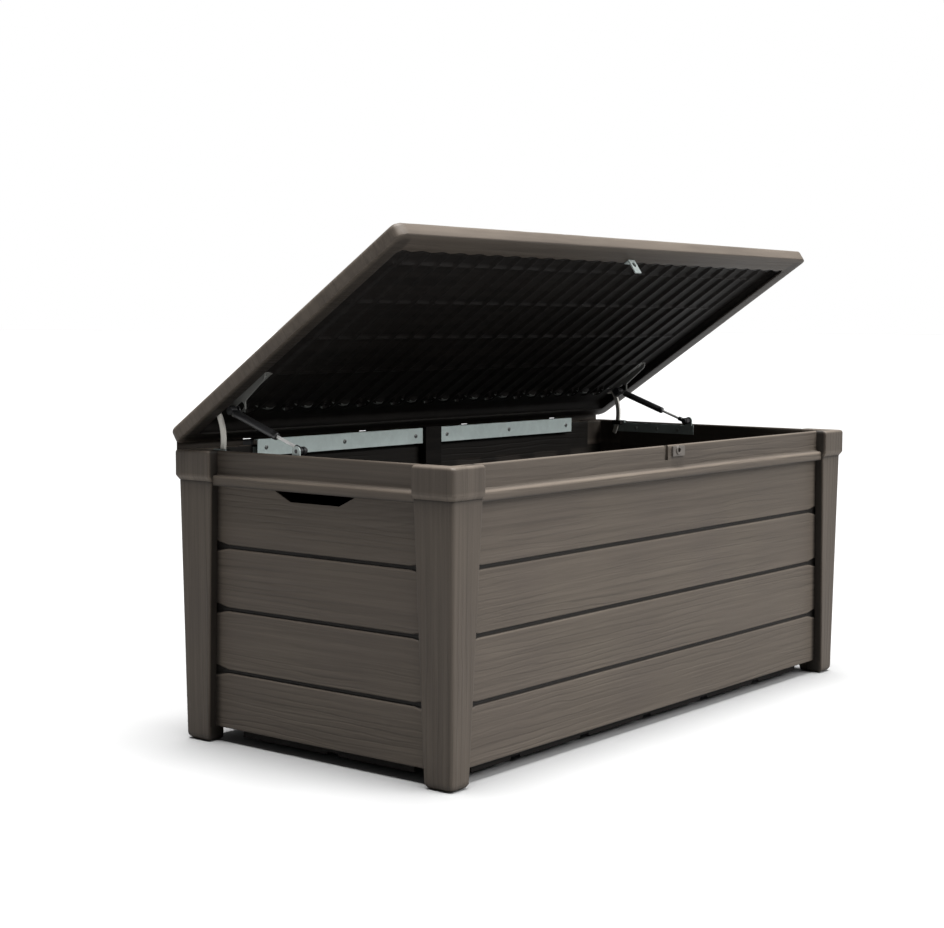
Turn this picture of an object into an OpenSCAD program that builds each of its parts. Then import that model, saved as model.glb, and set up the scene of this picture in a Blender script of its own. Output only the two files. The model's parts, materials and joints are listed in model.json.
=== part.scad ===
// Deck storage box: a panelled resin chest with a gas-strut lid, stiffening rails and a padlock eye.
// Millimetres, +Z up. +X runs along the long side and the front of the box faces -Y.
// The origin is on the ground, under the middle of the box with its lid held open.

/* [Body] */
// Length of the body at its rim, outside
body_l = 1430; // [1300:10:1600]
// Width of the body at its rim, outside
body_w = 686; // [640:2:760]
// Height of the rim above the ground
rim_h = 560; // [540:2:620]
// Height of the four corner caps
cap_h = 59; // [50:1:64]
// How far each outer face leans in between the caps and the ground
taper = 7.7; // [0:0.1:12]
// Depth of the walls' inner face at the rim, behind the corner caps
wall_t = 32; // [31:0.5:33]
// Thickness of the plank walls
skin_t = 4; // [3:0.5:5]

/* [Planks] */
// Depth of the plank faces behind the corner caps
plank_d = 25; // [22:0.5:26]
// Height of the lower edge of the wall panels
panel_z = 28.3; // [24:0.1:32]
// Height of the highest groove between planks
groove_top_z = 378.6; // [370:0.1:390]
// Distance from one groove to the next
plank_pitch = 119.6; // [110:0.1:122]
// Width of a groove at the plank face
groove_w = 7; // [4:0.5:10]
// Depth of a groove
groove_d = 4.5; // [3:0.5:5]

/* [Corner posts] */
// Width of a post on the long side, under its cap
post_long_top = 88; // [80:1:110]
// Width of a post on the long side, at the ground
post_long_foot = 62; // [55:1:80]
// Width of a post on the short side, under its cap
post_short_top = 94; // [80:1:110]
// Width of a post on the short side, at the ground
post_short_foot = 75; // [55:1:90]
// Step from the cap's face in to the post's face
post_d = 5.8; // [3:0.1:8]

/* [Lid] */
// Length of the lid
lid_l = 1451; // [1440:1:1500]
// Width of the lid from front to back
lid_w = 684.6; // [680:0.2:690]
// Thickness of the lid's edge
lid_edge = 27.4; // [24:0.2:32]
// Height of the crown over the edge
lid_crown = 15; // [8:0.5:20]
// Angle that the lid is held open at
open_angle = 33.74; // [10:0.01:45]
// Height of the hinge axis above the rim
hinge_rise = 18.4; // [16:0.1:20]
// Distance of the hinge axis behind the body
hinge_back = 10.3; // [9.5:0.1:12]

/* [Gas struts] */
// Distance of the struts from the middle of the box
strut_x = 665; // [663:0.5:666]
// Place of the lower pivot, behind the middle of the box
strut_low_y = 52; // [48:1:56]
// Height of the lower pivot above the rim
strut_low_rise = 7; // [5:0.5:8]
// Diameter of the strut's cylinder
strut_d = 15; // [13:0.5:15]
// Diameter of the strut's rod
rod_d = 6; // [5:0.5:7]
// Length of the strut's cylinder
cylinder_l = 120; // [116:1:122]

/* [Hardware] */
// Distance of the inner pair of hinges from the middle
hinge_in_x = 175; // [150:5:220]
// Distance of the outer pair of hinges from the middle
hinge_out_x = 520; // [460:5:560]
// Radius of the padlock eye
eye_r = 5; // [4:0.5:6]
// Radius of the curved stay arms
stay_r = 103; // [101:0.5:105]

/* [Hidden] */
SIDES = ["left", "right"];
CORNERS = ["front_left", "front_right", "rear_left", "rear_right"];
HINGES = ["1", "2", "3", "4"];
$fn = 64;

cap_z = rim_h - cap_h;
half_l = body_l / 2;
half_w = body_w / 2;
inner_l = half_l - wall_t;
inner_w = half_w - wall_t;
inner_d = plank_d + skin_t;
big = 4000;

// Rim and ledge of the wall panels
rim_d = 24;
rim_bevel = 3;
ledge_d = 11;
ledge_low_z = rim_h - 66;
ledge_top_z = rim_h - 47;
rib_depth = 5;
rib_pitch = 120;
plank_grooves = [for (i = [0 : 2]) groove_top_z - i * plank_pitch];

// Posts and caps
post_t = 4;
foot_bevel = 8;
cap_slope = 10;
cap_bevel = 6;

// Feet and floor
foot_inner_d = 45;
floor_gap = 0.3;
floor_t = 4;
skirt_z = 11;
skirt_t = 4;
skirt_gap = 55;

// Handle recess, a wide slot with slanted ends under the ledge
handle_top_z = ledge_low_z - 1;
handle_low_z = handle_top_z - 19;
handle_top_half = 100;
handle_low_half = 60;
cup_depth = 29;
cup_t = 3;

// Hinges
hinge_y = half_w + hinge_back;
hinge_z = rim_h + hinge_rise;
hinge_x = [-hinge_out_x, -hinge_in_x, hinge_in_x, hinge_out_x];
barrel_r = 8;
hinge_pin_r = 3;
running = 0.05;
leaf_t = 3;
leaf_w = 70;
knuckle_in = 12;
knuckle_gap = 0.5;
leaf_low_z = rim_h - 45;

// Lid, described closed
lid_z = rim_h + 0.6;
lid_top_edge = lid_z + lid_edge;
lid_front = -(half_w + 0.7);
lid_back = lid_front + lid_w;
lid_mid_y = (lid_front + lid_back) / 2;
lid_top = lid_top_edge + lid_crown;
skin = 3;
flange_t = 4.4;
flange_side = 41;
flange_front = 50;
flange_back = 28.4;
lid_bevel = 5;
liner_z = rim_h + 20;
liner_t = 2.5;
liner_lap = 4;
liner_rib_h = 12;
liner_rib_t = 3;
liner_rib_pitch = 54;
liner_rib_count = 22;

// Struts, with the lower pivot B on the box and the upper pin P in the lid bracket's slot
strut_r = strut_d / 2;
rod_r = rod_d / 2;
pin_r = 4;
low_z = rim_h + strut_low_rise;
lid_pin = [half_w - 115, rim_h + 2];
high = opened(lid_pin);
strut_l = norm(high - [strut_low_y, low_z]);
strut_tilt = atan2(high[1] - low_z, high[0] - strut_low_y);
eye_w = 6;
eye_outer_r = 8;
neck_r = 2.9;
rod_l = 131;
slot_y = half_w - 124.3;
slot_z = rim_h + 0.3;
slot_half = 10.8;
slot_r = 7.1;
bracket_x = strut_x - 13;
bracket_t = 3;

// Stay arms and their guides
stay_x = strut_x + 8;
stay_w = 6;
stay_t = 10;
stay_from = 179.5;
stay_to = 241.5;
guide_y = [half_w - 103, half_w - 79];
guide_z = [rim_h - 8, rim_h + 2];
guide_x = strut_x;
plate_t = 3;

// The channel behind the rear rim
gutter_z = rim_h - 14;
gutter_t = 4;
gutter_top = rim_h + 13.5;

// Place of the latch along the front
latch_x = 28;

// Stiffening rails and their support
rail_front = inner_w - 14;
rail_low = rim_h - 22;
rail_top = rim_h + 11;
rail_in = 30;
rail_out = 537;
rail_t = 2;
support_half = 27;
rail_back = inner_w - 5;

// The middle of everything from front to back, which lies over the origin
frame_y = -(hinge_y + barrel_r - half_w) / 2;

resin = "#5f5750";
resin_dark = "#2c2825";
steel = "#8e9694";
dark_steel = "#3a3a3a";

function lean(z) = taper * (cap_z - z) / cap_z;

function opened(p) = [
    hinge_y + (p[0] - hinge_y) * cos(open_angle) + (p[1] - hinge_z) * sin(open_angle),
    hinge_z - (p[0] - hinge_y) * sin(open_angle) + (p[1] - hinge_z) * cos(open_angle)];

// An outline in X and Z, carried along Y
module prism_y(points, length) {
    rotate([90, 0, 0]) linear_extrude(length, center = true) polygon(points);
}

// An outline in Y and Z, carried along X
module prism_x(points, length) {
    rotate([90, 0, 90]) linear_extrude(length, center = true) polygon(points);
}

// A block between two corners
module block(low, high) {
    translate(low) cube(high - low);
}

// A round bar along X, between two places on X
module bar_x(x0, x1, y, z, r) {
    translate([x0, y, z]) rotate([0, 90, 0]) cylinder(h = x1 - x0, r = r);
}

// A round bar along Y
module bar_y(x, y0, y1, z, r) {
    translate([x, y0, z]) rotate([-90, 0, 0]) cylinder(h = y1 - y0, r = r);
}

// The trapezoid at a depth behind the caps' faces, for a half width
function leaning(half, depth, z0, z1) = [
    [-(half - depth - lean(z0)), z0], [half - depth - lean(z0), z0],
    [half - depth - lean(z1), z1], [-(half - depth - lean(z1)), z1]];

// Everything inside a depth behind the caps' faces, which leans in towards the ground
module within(depth, z0, z1) {
    intersection() {
        prism_y(leaning(half_l, depth, z0, z1), big);
        prism_x(leaning(half_w, depth, z0, z1), big);
    }
}

// One half or quarter of the box turned to its side
module on_side(side) {
    if (side == "left") mirror([1, 0, 0]) children();
    else children();
}

module at_corner(corner) {
    x = (corner == "front_left" || corner == "rear_left") ? 1 : 0;
    y = (corner == "front_left" || corner == "front_right") ? 1 : 0;
    mirror([x, 0, 0]) mirror([0, y, 0]) children();
}

// Parts that belong to the lid are described closed and shown held open
module on_lid() {
    translate([0, hinge_y, hinge_z]) rotate([-open_angle, 0, 0]) translate([0, -hinge_y, -hinge_z])
        children();
}

// Parts of a strut are described along +Y from its lower pivot
module on_strut(side) {
    on_side(side) translate([0, strut_low_y, low_z]) rotate([strut_tilt, 0, 0]) children();
}

// ---- Body ----

// The line of the plank faces and grooves up a wall, from foot to rim, a depth behind the faces
function plank_line(half, depth) = concat(
    [[half - plank_d - depth - lean(panel_z), panel_z]],
    [for (i = [2 : -1 : 0]) for (s = [[-0.5, 0], [-0.3, 1], [0.3, 1], [0.5, 0]])
        let (z = plank_grooves[i] + s[0] * groove_w)
            [half - plank_d - depth - lean(z) - s[1] * groove_d, z]],
    [[half - plank_d - depth, cap_z]]);

// Outline of a wall that faces +X, one skin that follows the planks
function wall_outline(half) =
    let (inside = plank_line(half, skin_t))
        concat(plank_line(half, 0), [for (i = [len(inside) - 1 : -1 : 0]) inside[i]]);

// Outline of the rim above it, with the ledge that sheds water over the planks
function rim_outline(half) = [
    [half - wall_t, ledge_low_z], [half - ledge_d - 2, ledge_low_z], [half - ledge_d, ledge_low_z + 2],
    [half - ledge_d, ledge_top_z - 3], [half - ledge_d - 3, ledge_top_z], [half - rim_d, ledge_top_z + 3],
    [half - rim_d, rim_h - rim_bevel], [half - rim_d - rim_bevel, rim_h], [half - wall_t, rim_h]];

// Outline of a short wall from end to end, which fits between the long walls' skins
function fitted_ends() =
    let (line = plank_line(half_w, skin_t))
        concat(line, [for (i = [len(line) - 1 : -1 : 0]) [-line[i][0], line[i][1]]]);

// A whole wall that faces +X, with ribs up its inner skin
module wall(half, ends, rim_len, rib_count) {
    intersection() {
        prism_y(wall_outline(half), big);
        prism_x(ends, big);
    }
    prism_y(rim_outline(half), rim_len);
    rib_low = panel_z + floor_t + 2;
    rib_top = ledge_low_z - 26;
    intersection() {
        prism_y([[half - inner_d - rib_depth - lean(rib_low), rib_low],
            [half - inner_d - lean(rib_low) + 1, rib_low], [half - inner_d - lean(rib_top) + 1, rib_top],
            [half - inner_d - rib_depth - lean(rib_top), rib_top]], big);
        for (i = [0 : rib_count - 1])
            translate([0, (i - (rib_count - 1) / 2) * rib_pitch - 3, 0]) cube([big, 6, rim_h]);
    }
}

module long_wall() {
    wall(half_w, leaning(half_l, plank_d, panel_z, cap_z), body_l - 2 * post_long_top, 10);
}

module front_panel() {
    color(resin) difference() {
        rotate([0, 0, -90]) long_wall();
        bar_y(latch_x, -half_w, -inner_w + 1, rim_h - 11, eye_r + 4);
        block([latch_x - 46, -half_w, rim_h - 30], [latch_x - 33, -half_w + rim_d + 5, rim_h + 1]);
    }
}

// A channel behind the rear rim, with an upstand that closes the gap behind the open lid
module rear_gutter() {
    end = half_l - post_long_top;
    lip = lid_back + 0.3;
    difference() {
        union() {
            block([-end, half_w - rim_d - 1, gutter_z - gutter_t], [end, half_w, gutter_z]);
            block([-end, lip, gutter_z - 1], [end, half_w, gutter_top]);
        }
        for (x = hinge_x)
            block([x - knuckle_in - 1, lip - 1, rim_h + 1], [x + knuckle_in + 1, half_w + 1, big]);
    }
}

module rear_panel() {
    color(resin) {
        rotate([0, 0, 90]) long_wall();
        rear_gutter();
        for (x = hinge_x)
            block([x - leaf_w / 2 - 3, half_w - rim_d - 2, leaf_low_z - 1],
                [x + leaf_w / 2 + 3, half_w, rim_h - rim_bevel - 1]);
    }
}

function handle_outline(grow) = [
    [-handle_low_half - grow, handle_low_z - grow], [handle_low_half + grow, handle_low_z - grow],
    [handle_top_half + 1.6 * grow, handle_top_z], [-handle_top_half - 1.6 * grow, handle_top_z]];

module short_wall() {
    difference() {
        wall(half_l, fitted_ends(), body_w - 2 * post_short_top, 4);
        translate([half_l, 0, 0]) prism_x(handle_outline(0), 4 * wall_t);
    }
}

module side_panel(side) {
    color(resin) on_side(side) short_wall();
}

module handle_cup(side) {
    cup_out = half_l - inner_d - 0.5;
    cup_in = cup_out - cup_depth;
    top_half = handle_top_half + 1.6 * cup_t;
    color(resin_dark) on_side(side) difference() {
        union() {
            translate([cup_out - cup_depth / 2, 0, 0]) prism_x(handle_outline(cup_t), cup_depth);
            block([cup_in, -top_half, handle_top_z], [inner_l - 0.3, top_half, handle_top_z + cup_t]);
        }
        translate([cup_in + cup_t + cup_depth, 0, 0]) prism_x(handle_outline(0), 2 * cup_depth);
    }
}

module floor_panel() {
    slab_l = half_l - inner_d - lean(panel_z) - floor_gap;
    slab_w = half_w - inner_d - lean(panel_z) - floor_gap;
    skirt_l = half_l - foot_inner_d - taper - floor_gap;
    skirt_w = half_w - foot_inner_d - taper - floor_gap;
    color(resin_dark) {
        block([-slab_l, -slab_w, panel_z], [slab_l, slab_w, panel_z + floor_t]);
        difference() {
            block([-skirt_l, -skirt_w, skirt_z], [skirt_l, skirt_w, panel_z]);
            for (i = [-3 : 2]) for (j = [-1 : 0])
                block([i * skirt_l / 3 + skirt_t, j * skirt_w + skirt_t, skirt_z - 1],
                    [(i + 1) * skirt_l / 3 - skirt_t, (j + 1) * skirt_w - skirt_t, panel_z]);
            for (i = [-2 : 2])
                block([i * skirt_l / 3 - 40, -big, skirt_z - 1], [i * skirt_l / 3 - 12, big, skirt_z + 5]);
            block([-big, -30, skirt_z - 1], [big, -4, skirt_z + 5]);
            for (c = CORNERS) at_corner(c)
                block([half_l - post_long_foot - skirt_gap, half_w - post_short_foot - skirt_gap, 0],
                    [half_l, half_w, panel_z - 3]);
        }
    }
}

// A post's outline seen along a wall, with a bevel round its foot
function post_outline(half, depth) = [
    [0, 0], [half - depth - lean(0) - foot_bevel, 0], [half - depth - lean(foot_bevel), foot_bevel],
    [half - depth, cap_z], [0, cap_z]];

// The two arms of a post, each widening upwards, made smaller by an inset at its end
module post_arms(inset) {
    arm_long = [[half_l - post_long_foot + inset, 0], [half_l, 0],
        [half_l, cap_z], [half_l - post_long_top + inset, cap_z]];
    arm_short = [[half_w - post_short_foot + inset, 0], [half_w, 0],
        [half_w, cap_z], [half_w - post_short_top + inset, cap_z]];
    intersection() {
        prism_y(arm_long, big);
        block([0, half_w - foot_inner_d - taper, 0], [half_l, half_w, cap_z]);
    }
    intersection() {
        prism_x(arm_short, big);
        block([half_l - foot_inner_d - taper, 0, 0], [half_l, half_w, cap_z]);
    }
}

// A post is a shell that wraps the corner outside the wall panels and stands on an L-shaped foot
module post(corner) {
    color(resin) at_corner(corner) difference() {
        intersection() {
            prism_y(post_outline(half_l, post_d), big);
            prism_x(post_outline(half_w, post_d), big);
            post_arms(0);
        }
        intersection() {
            within(post_d + post_t, panel_z, cap_z + 1);
            post_arms(post_t);
        }
        within(plank_d, panel_z, cap_z + 1);
        within(foot_inner_d, -1, panel_z + 1);
    }
}

// A cap's outline: its foot slopes out from the post's face, and its top edge is bevelled
function cap_outline(half) = [
    [0, cap_z], [half - post_d, cap_z], [half, cap_z + cap_slope], [half, rim_h - cap_bevel],
    [half - cap_bevel, rim_h], [0, rim_h]];

// A cap joins the two rims at the corner
module cap(corner) {
    color(resin) at_corner(corner) intersection() {
        prism_y(cap_outline(half_l), big);
        prism_x(cap_outline(half_w), big);
        difference() {
            block([half_l - post_long_top, half_w - post_short_top, cap_z], [half_l, half_w, rim_h]);
            block([0, 0, 0], [inner_l, inner_w, rim_h + 1]);
        }
    }
}

// ---- Rear stiffening ----

// The rail is a channel: a tall front web, a short top, and a lip screwed to the rear wall
module rail(side) {
    lip_top = rim_h - 4;
    color(steel) on_side(side) difference() {
        prism_length = rail_out - rail_in;
        translate([rail_in + prism_length / 2, 0, 0]) prism_x([
            [rail_front, rail_low], [inner_w, rail_low], [inner_w, lip_top], [inner_w - rail_t, lip_top],
            [inner_w - rail_t, rail_low + rail_t], [rail_front + rail_t, rail_low + rail_t],
            [rail_front + rail_t, rail_top - rail_t], [rail_back, rail_top - rail_t], [rail_back, rail_top],
            [rail_front, rail_top]], prism_length);
        for (x = rail_screw_x()) bar_y(x, rail_front - 1, rail_front + rail_t + 1, rail_mid(), 2.2);
    }
}

function rail_screw_x() = [rail_in + 24, (rail_in + rail_out) / 2, rail_out - 24];
function rail_mid() = (rail_low + rail_top) / 2;

module rail_screws() {
    color(dark_steel) for (side = SIDES) on_side(side) for (x = rail_screw_x()) {
        bar_y(x, rail_front - 2.4, rail_front, rail_mid(), 4.5);
        bar_y(x, rail_front - 1, rail_front + rail_t + 6, rail_mid(), 2);
    }
}

// A black channel that stands on the floor and carries the inner ends of both rails
module centre_support() {
    front = rail_front - 7;
    top_z = rim_h + 14;
    color(resin_dark) intersection() {
        within(inner_d + groove_d + 0.3, 0, cap_z + 2 * cap_h);
        difference() {
            union() {
                block([-support_half, front, panel_z + floor_t], [support_half, inner_w, rim_h - 6]);
                block([-support_half, front, rim_h - 7], [support_half, rail_back, top_z]);
            }
            block([-support_half + 4, front + 4, 0], [support_half - 4, inner_w + 1, top_z - 4]);
        }
    }
}

// ---- Latch ----

module lock_plate() {
    eye_z = rim_h - 11;
    face = half_w - rim_d;
    color(steel) difference() {
        union() {
            block([latch_x - 20, -face - 4, eye_z - 12], [latch_x + 24, -face, rim_h - rim_bevel]);
            bar_y(latch_x, -face - 6, -inner_w, eye_z, eye_r + 4);
        }
        bar_y(latch_x, -face - 7, -inner_w + 1, eye_z, eye_r);
    }
}

module lid_tongue() {
    eye_z = rim_h - 11;
    back = -inner_w + 7;
    color(steel) on_lid() difference() {
        union() {
            block([latch_x - 11, back - 3, eye_z - 20], [latch_x + 11, back, lid_z]);
            block([latch_x - 11, back - 1, lid_z - 2.5], [latch_x + 11, back + 10, lid_z]);
        }
        bar_y(latch_x, back - 4, back + 1, eye_z, eye_r + 0.5);
    }
}

// ---- Hinges ----

module body_leaf(i) {
    x = hinge_x[i];
    color(dark_steel) difference() {
        union() {
            block([x - leaf_w / 2, half_w, leaf_low_z], [x + leaf_w / 2, half_w + leaf_t, rim_h - 4]);
            for (s = [-1, 1]) {
                mid = x + s * (leaf_w / 2 + knuckle_in) / 2;
                len = leaf_w / 2 - knuckle_in;
                block([mid - len / 2, half_w, rim_h - 5], [mid + len / 2, half_w + leaf_t, hinge_z]);
                bar_x(mid - len / 2, mid + len / 2, hinge_y, hinge_z, barrel_r);
            }
            block([x - knuckle_in, half_w + 0.8, rim_h - 5],
                [x + knuckle_in, half_w + leaf_t, hinge_z - barrel_r - 1.4]);
        }
        bar_x(x - leaf_w, x + leaf_w, hinge_y, hinge_z, hinge_pin_r);
        for (s = [-1, 1]) bar_y(x + s * 22, half_w - 1, half_w + leaf_t + 1, leaf_low_z + 16, 2.4);
    }
}

module hinge_pin(i) {
    x = hinge_x[i];
    color(steel) {
        bar_x(x - leaf_w / 2, x + leaf_w / 2, hinge_y, hinge_z, hinge_pin_r);
        for (s = [-1, 1]) {
            head = x + s * (leaf_w / 2 + 1);
            bar_x(head - 1, head + 1, hinge_y, hinge_z, 5);
        }
    }
}

module lid_leaf(i) {
    x = hinge_x[i];
    half = knuckle_in - knuckle_gap;
    color(dark_steel) on_lid() difference() {
        union() {
            block([x - half, lid_back, lid_z + 2], [x + half, lid_back + 2.5, lid_top_edge - 2]);
            block([x - half, lid_back, hinge_z - 4.5], [x + half, hinge_y, hinge_z + 4.5]);
            bar_x(x - half, x + half, hinge_y, hinge_z, barrel_r);
        }
        bar_x(x - leaf_w, x + leaf_w, hinge_y, hinge_z, hinge_pin_r + running);
    }
}

module hinge_screws() {
    color(steel) for (x = hinge_x) for (s = [-1, 1]) {
        bar_y(x + s * 22, half_w + 0.1, half_w + leaf_t + 1, leaf_low_z + 16, 2.2);
        bar_y(x + s * 22, half_w + leaf_t, half_w + leaf_t + 2.2, leaf_low_z + 16, 4.5);
    }
}

// ---- Lid ----

// The solid under a crowned surface: two wide arches that meet, each dropping by the crown at its edges
module under_crown(inset) {
    arch_y = (pow(lid_w / 2, 2) + pow(lid_crown, 2)) / (2 * lid_crown);
    arch_x = (pow(lid_l / 2, 2) + pow(lid_crown, 2)) / (2 * lid_crown);
    intersection() {
        translate([0, lid_mid_y, lid_top - arch_y]) rotate([0, 90, 0])
            cylinder(h = 2 * lid_l, r = arch_y - inset, center = true, $fn = 1440);
        translate([0, lid_mid_y, lid_top - arch_x]) rotate([90, 0, 0])
            cylinder(h = 2 * lid_w, r = arch_x - inset, center = true, $fn = 2880);
    }
}

// The lid's plan with round corners
module lid_plan(inset, r) {
    x = lid_l / 2 - inset;
    y = lid_w / 2 - inset;
    translate([0, lid_mid_y]) {
        square([2 * x - 2 * r, 2 * y], center = true);
        square([2 * x, 2 * y - 2 * r], center = true);
        for (i = [-1, 1]) for (j = [-1, 1]) translate([i * (x - r), j * (y - r)]) circle(r = r);
    }
}

// The lid's outline from edge to edge, with a bevel along its top edges
function bevelled(a, b, tall) = [
    [a, lid_z], [b, lid_z], [b, lid_top_edge - lid_bevel], [b - lid_bevel, lid_top_edge + 0.5],
    [b - lid_bevel, tall], [a + lid_bevel, tall], [a + lid_bevel, lid_top_edge + 0.5],
    [a, lid_top_edge - lid_bevel]];

module lid_shell() {
    half = lid_l / 2;
    tall = lid_top + 10;
    color(resin) on_lid() difference() {
        intersection() {
            translate([0, 0, lid_z]) linear_extrude(tall - lid_z) lid_plan(0, 14);
            prism_y(bevelled(-half, half, tall), big);
            prism_x(bevelled(lid_front, lid_back, tall), big);
            under_crown(0);
        }
        intersection() {
            union() {
                block([-half + flange_side, lid_front + flange_front, lid_z - 1],
                    [half - flange_side, lid_back - flange_back, tall]);
                translate([0, 0, lid_z + flange_t]) linear_extrude(tall - lid_z)
                    lid_plan(skin + lid_bevel - 2, 8);
            }
            under_crown(skin);
        }
    }
}

// The inner panel: a shallow tray with ribs that stands on the flange, and that the struts fold up against
module lid_liner() {
    x = lid_l / 2 - flange_side + liner_lap;
    y0 = lid_front + flange_front - liner_lap;
    y1 = lid_back - flange_back + liner_lap;
    wall = liner_t - 0.5;
    rib_x = (liner_rib_count - 1) / 2 * liner_rib_pitch;
    rib_end = inner_w - 34;
    color(resin_dark) on_lid() {
        difference() {
            block([-x, y0, lid_z + flange_t + 0.1], [x, y1, liner_z + liner_t]);
            block([-x + wall, y0 + wall, 0], [x - wall, y1 - wall, liner_z]);
        }
        for (i = [0 : liner_rib_count - 1])
            block([-rib_x + i * liner_rib_pitch - liner_rib_t / 2, y0 + 1, liner_z - liner_rib_h],
                [-rib_x + i * liner_rib_pitch + liner_rib_t / 2, rib_end, liner_z + 1]);
        for (i = [0 : 4])
            block([-rib_x, y0 + 60 + i * 120, liner_z - liner_rib_h + 3],
                [rib_x, y0 + 60 + i * 120 + liner_rib_t, liner_z + 1]);
    }
}

module lid_bracket(side) {
    y0 = slot_y - 97;
    y1 = slot_y + 22;
    flange_z = liner_z - bracket_t;
    color(steel) on_lid() on_side(side) difference() {
        union() {
            translate([bracket_x, 0, 0]) prism_x([
                [y0, flange_z], [y0 + 8, flange_z - 8], [slot_y - 24, slot_z + 2], [slot_y - 16, slot_z - 11],
                [slot_y + 16, slot_z - 11], [y1, slot_z - 4], [y1, flange_z]], bracket_t);
            block([bracket_x - 20, y0, flange_z], [bracket_x + bracket_t / 2, y1, liner_z]);
        }
        for (s = [-1, 1]) bar_x(bracket_x - 5, bracket_x + 5, slot_y + s * slot_half, slot_z, slot_r);
        block([bracket_x - 5, slot_y - slot_half, slot_z - slot_r],
            [bracket_x + 5, slot_y + slot_half, slot_z + slot_r]);
        for (y = bracket_screw_y()) translate([bracket_x - 11, y, flange_z - 1]) cylinder(h = 6, r = 2.4);
    }
}

function bracket_screw_y() = [slot_y - 84, slot_y - 48, slot_y + 12];

// The flat shape between two radii and two angles above the +Y direction
module ring_shape(r0, r1, a0, a1) {
    intersection() {
        difference() {
            circle(r = r1, $fn = 180);
            circle(r = r0, $fn = 180);
        }
        polygon(concat([[0, 0]], [for (i = [0 : 4]) let (a = a0 + (a1 - a0) * i / 4) 2 * r1 * [cos(a), sin(a)]]));
    }
}

// A flat shape about the hinge axis, carried along X from x0 to x1
module about_hinge(x0, x1) {
    translate([x0, hinge_y, hinge_z]) rotate([90, 0, 90]) linear_extrude(x1 - x0) children();
}

module stay_arm(side) {
    r0 = stay_r - stay_t / 2;
    r1 = stay_r + stay_t / 2;
    pad_y = hinge_y - stay_r;
    color(steel) on_lid() on_side(side) {
        about_hinge(stay_x - stay_w / 2, stay_x + stay_w / 2) ring_shape(r0, r1, stay_from, stay_to);
        block([stay_x - 8, pad_y - 14, liner_z - 3], [stay_x + 8, pad_y + 14, liner_z]);
    }
}

module lid_screws() {
    color(dark_steel) on_lid() {
        for (side = SIDES) on_side(side) for (y = bracket_screw_y()) translate([bracket_x - 11, y, 0]) {
            translate([0, 0, liner_z - bracket_t - 2]) cylinder(h = 2, r = 4.5);
            translate([0, 0, liner_z - bracket_t - 1]) cylinder(h = 3.9, r = 2.2);
        }
    }
}

// ---- Strut mounts on the body ----

module side_plate(side) {
    face = inner_l;
    color(steel) on_side(side) difference() {
        union() {
            block([face - plate_t, strut_low_y - 14, rim_h - 26], [face, guide_y[1] + 6, rim_h - 4]);
            block([face - plate_t, strut_low_y - 9.5, rim_h - 10], [face, strut_low_y + 9.5, low_z]);
            block([face - plate_t, guide_y[0] - 4, rim_h - 10], [face, guide_y[1] + 4, guide_z[1]]);
            bar_x(face - plate_t, face, strut_low_y, low_z, 9.5);
        }
        bar_x(face - plate_t - 1, face + 1, strut_low_y, low_z, pin_r);
        for (y = plate_screw_y()) bar_x(face - plate_t - 1, face + 1, y, rim_h - 16, 2.4);
    }
}

function plate_screw_y() = [strut_low_y + 30, strut_low_y + 90, strut_low_y + 150];

module side_plate_screws() {
    face = inner_l - plate_t;
    color(dark_steel) for (side = SIDES) on_side(side) for (y = plate_screw_y()) {
        bar_x(face - 2.2, face, y, rim_h - 16, 4.5);
        bar_x(face - 1, face + plate_t - 0.1, y, rim_h - 16, 2.2);
    }
}

// The guide is a block with a curved slot that the stay arm slides through
module stay_guide(side) {
    gap = 0.5;
    color(resin_dark) on_side(side) difference() {
        block([guide_x, guide_y[0], guide_z[0]], [inner_l - plate_t, guide_y[1], guide_z[1]]);
        about_hinge(stay_x - stay_w / 2 - gap, stay_x + stay_w / 2 + gap)
            ring_shape(stay_r - stay_t / 2 - gap, stay_r + stay_t / 2 + gap, 150, 215);
    }
}

module pivot_pin(side) {
    face = inner_l;
    eye = strut_x + eye_w / 2;
    color(dark_steel) on_side(side) {
        bar_x(strut_x - eye_w / 2 - 1, face, strut_low_y, low_z, pin_r);
        bar_x(eye + 0.3, face - plate_t, strut_low_y, low_z, 6);
        bar_x(strut_x - eye_w / 2 - 4, strut_x - eye_w / 2 - 0.3, strut_low_y, low_z, 6.5);
    }
}

// ---- Gas struts ----

module strut_rod(side) {
    color(steel) on_strut(side) {
        bar_y(strut_x, 9, rod_l, 0, rod_r);
        bar_y(strut_x, rod_l - 6, rod_l, 0, strut_r - 1.35);
    }
}

module rod_eye(side) {
    color(dark_steel) on_strut(side) difference() {
        union() {
            bar_x(strut_x - eye_w / 2, strut_x + eye_w / 2, 0, 0, eye_outer_r);
            bar_y(strut_x, 5, 10, 0, neck_r);
            bar_y(strut_x, 9.5, 18, 0, 5);
        }
        bar_x(strut_x - eye_w, strut_x + eye_w, 0, 0, pin_r + running);
        bar_y(strut_x, 9, 19, 0, rod_r);
    }
}

module strut_cylinder(side) {
    top = strut_l - 12;
    low = top - cylinder_l;
    color(dark_steel) on_strut(side) difference() {
        union() {
            bar_y(strut_x, low, top, 0, strut_r);
            bar_y(strut_x, top - 1, top + 3, 0, 2.4);
        }
        bar_y(strut_x, low - 1, low + 12, 0, rod_r + running);
        bar_y(strut_x, low + 10, top - 6, 0, strut_r - 1.25);
    }
}

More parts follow.
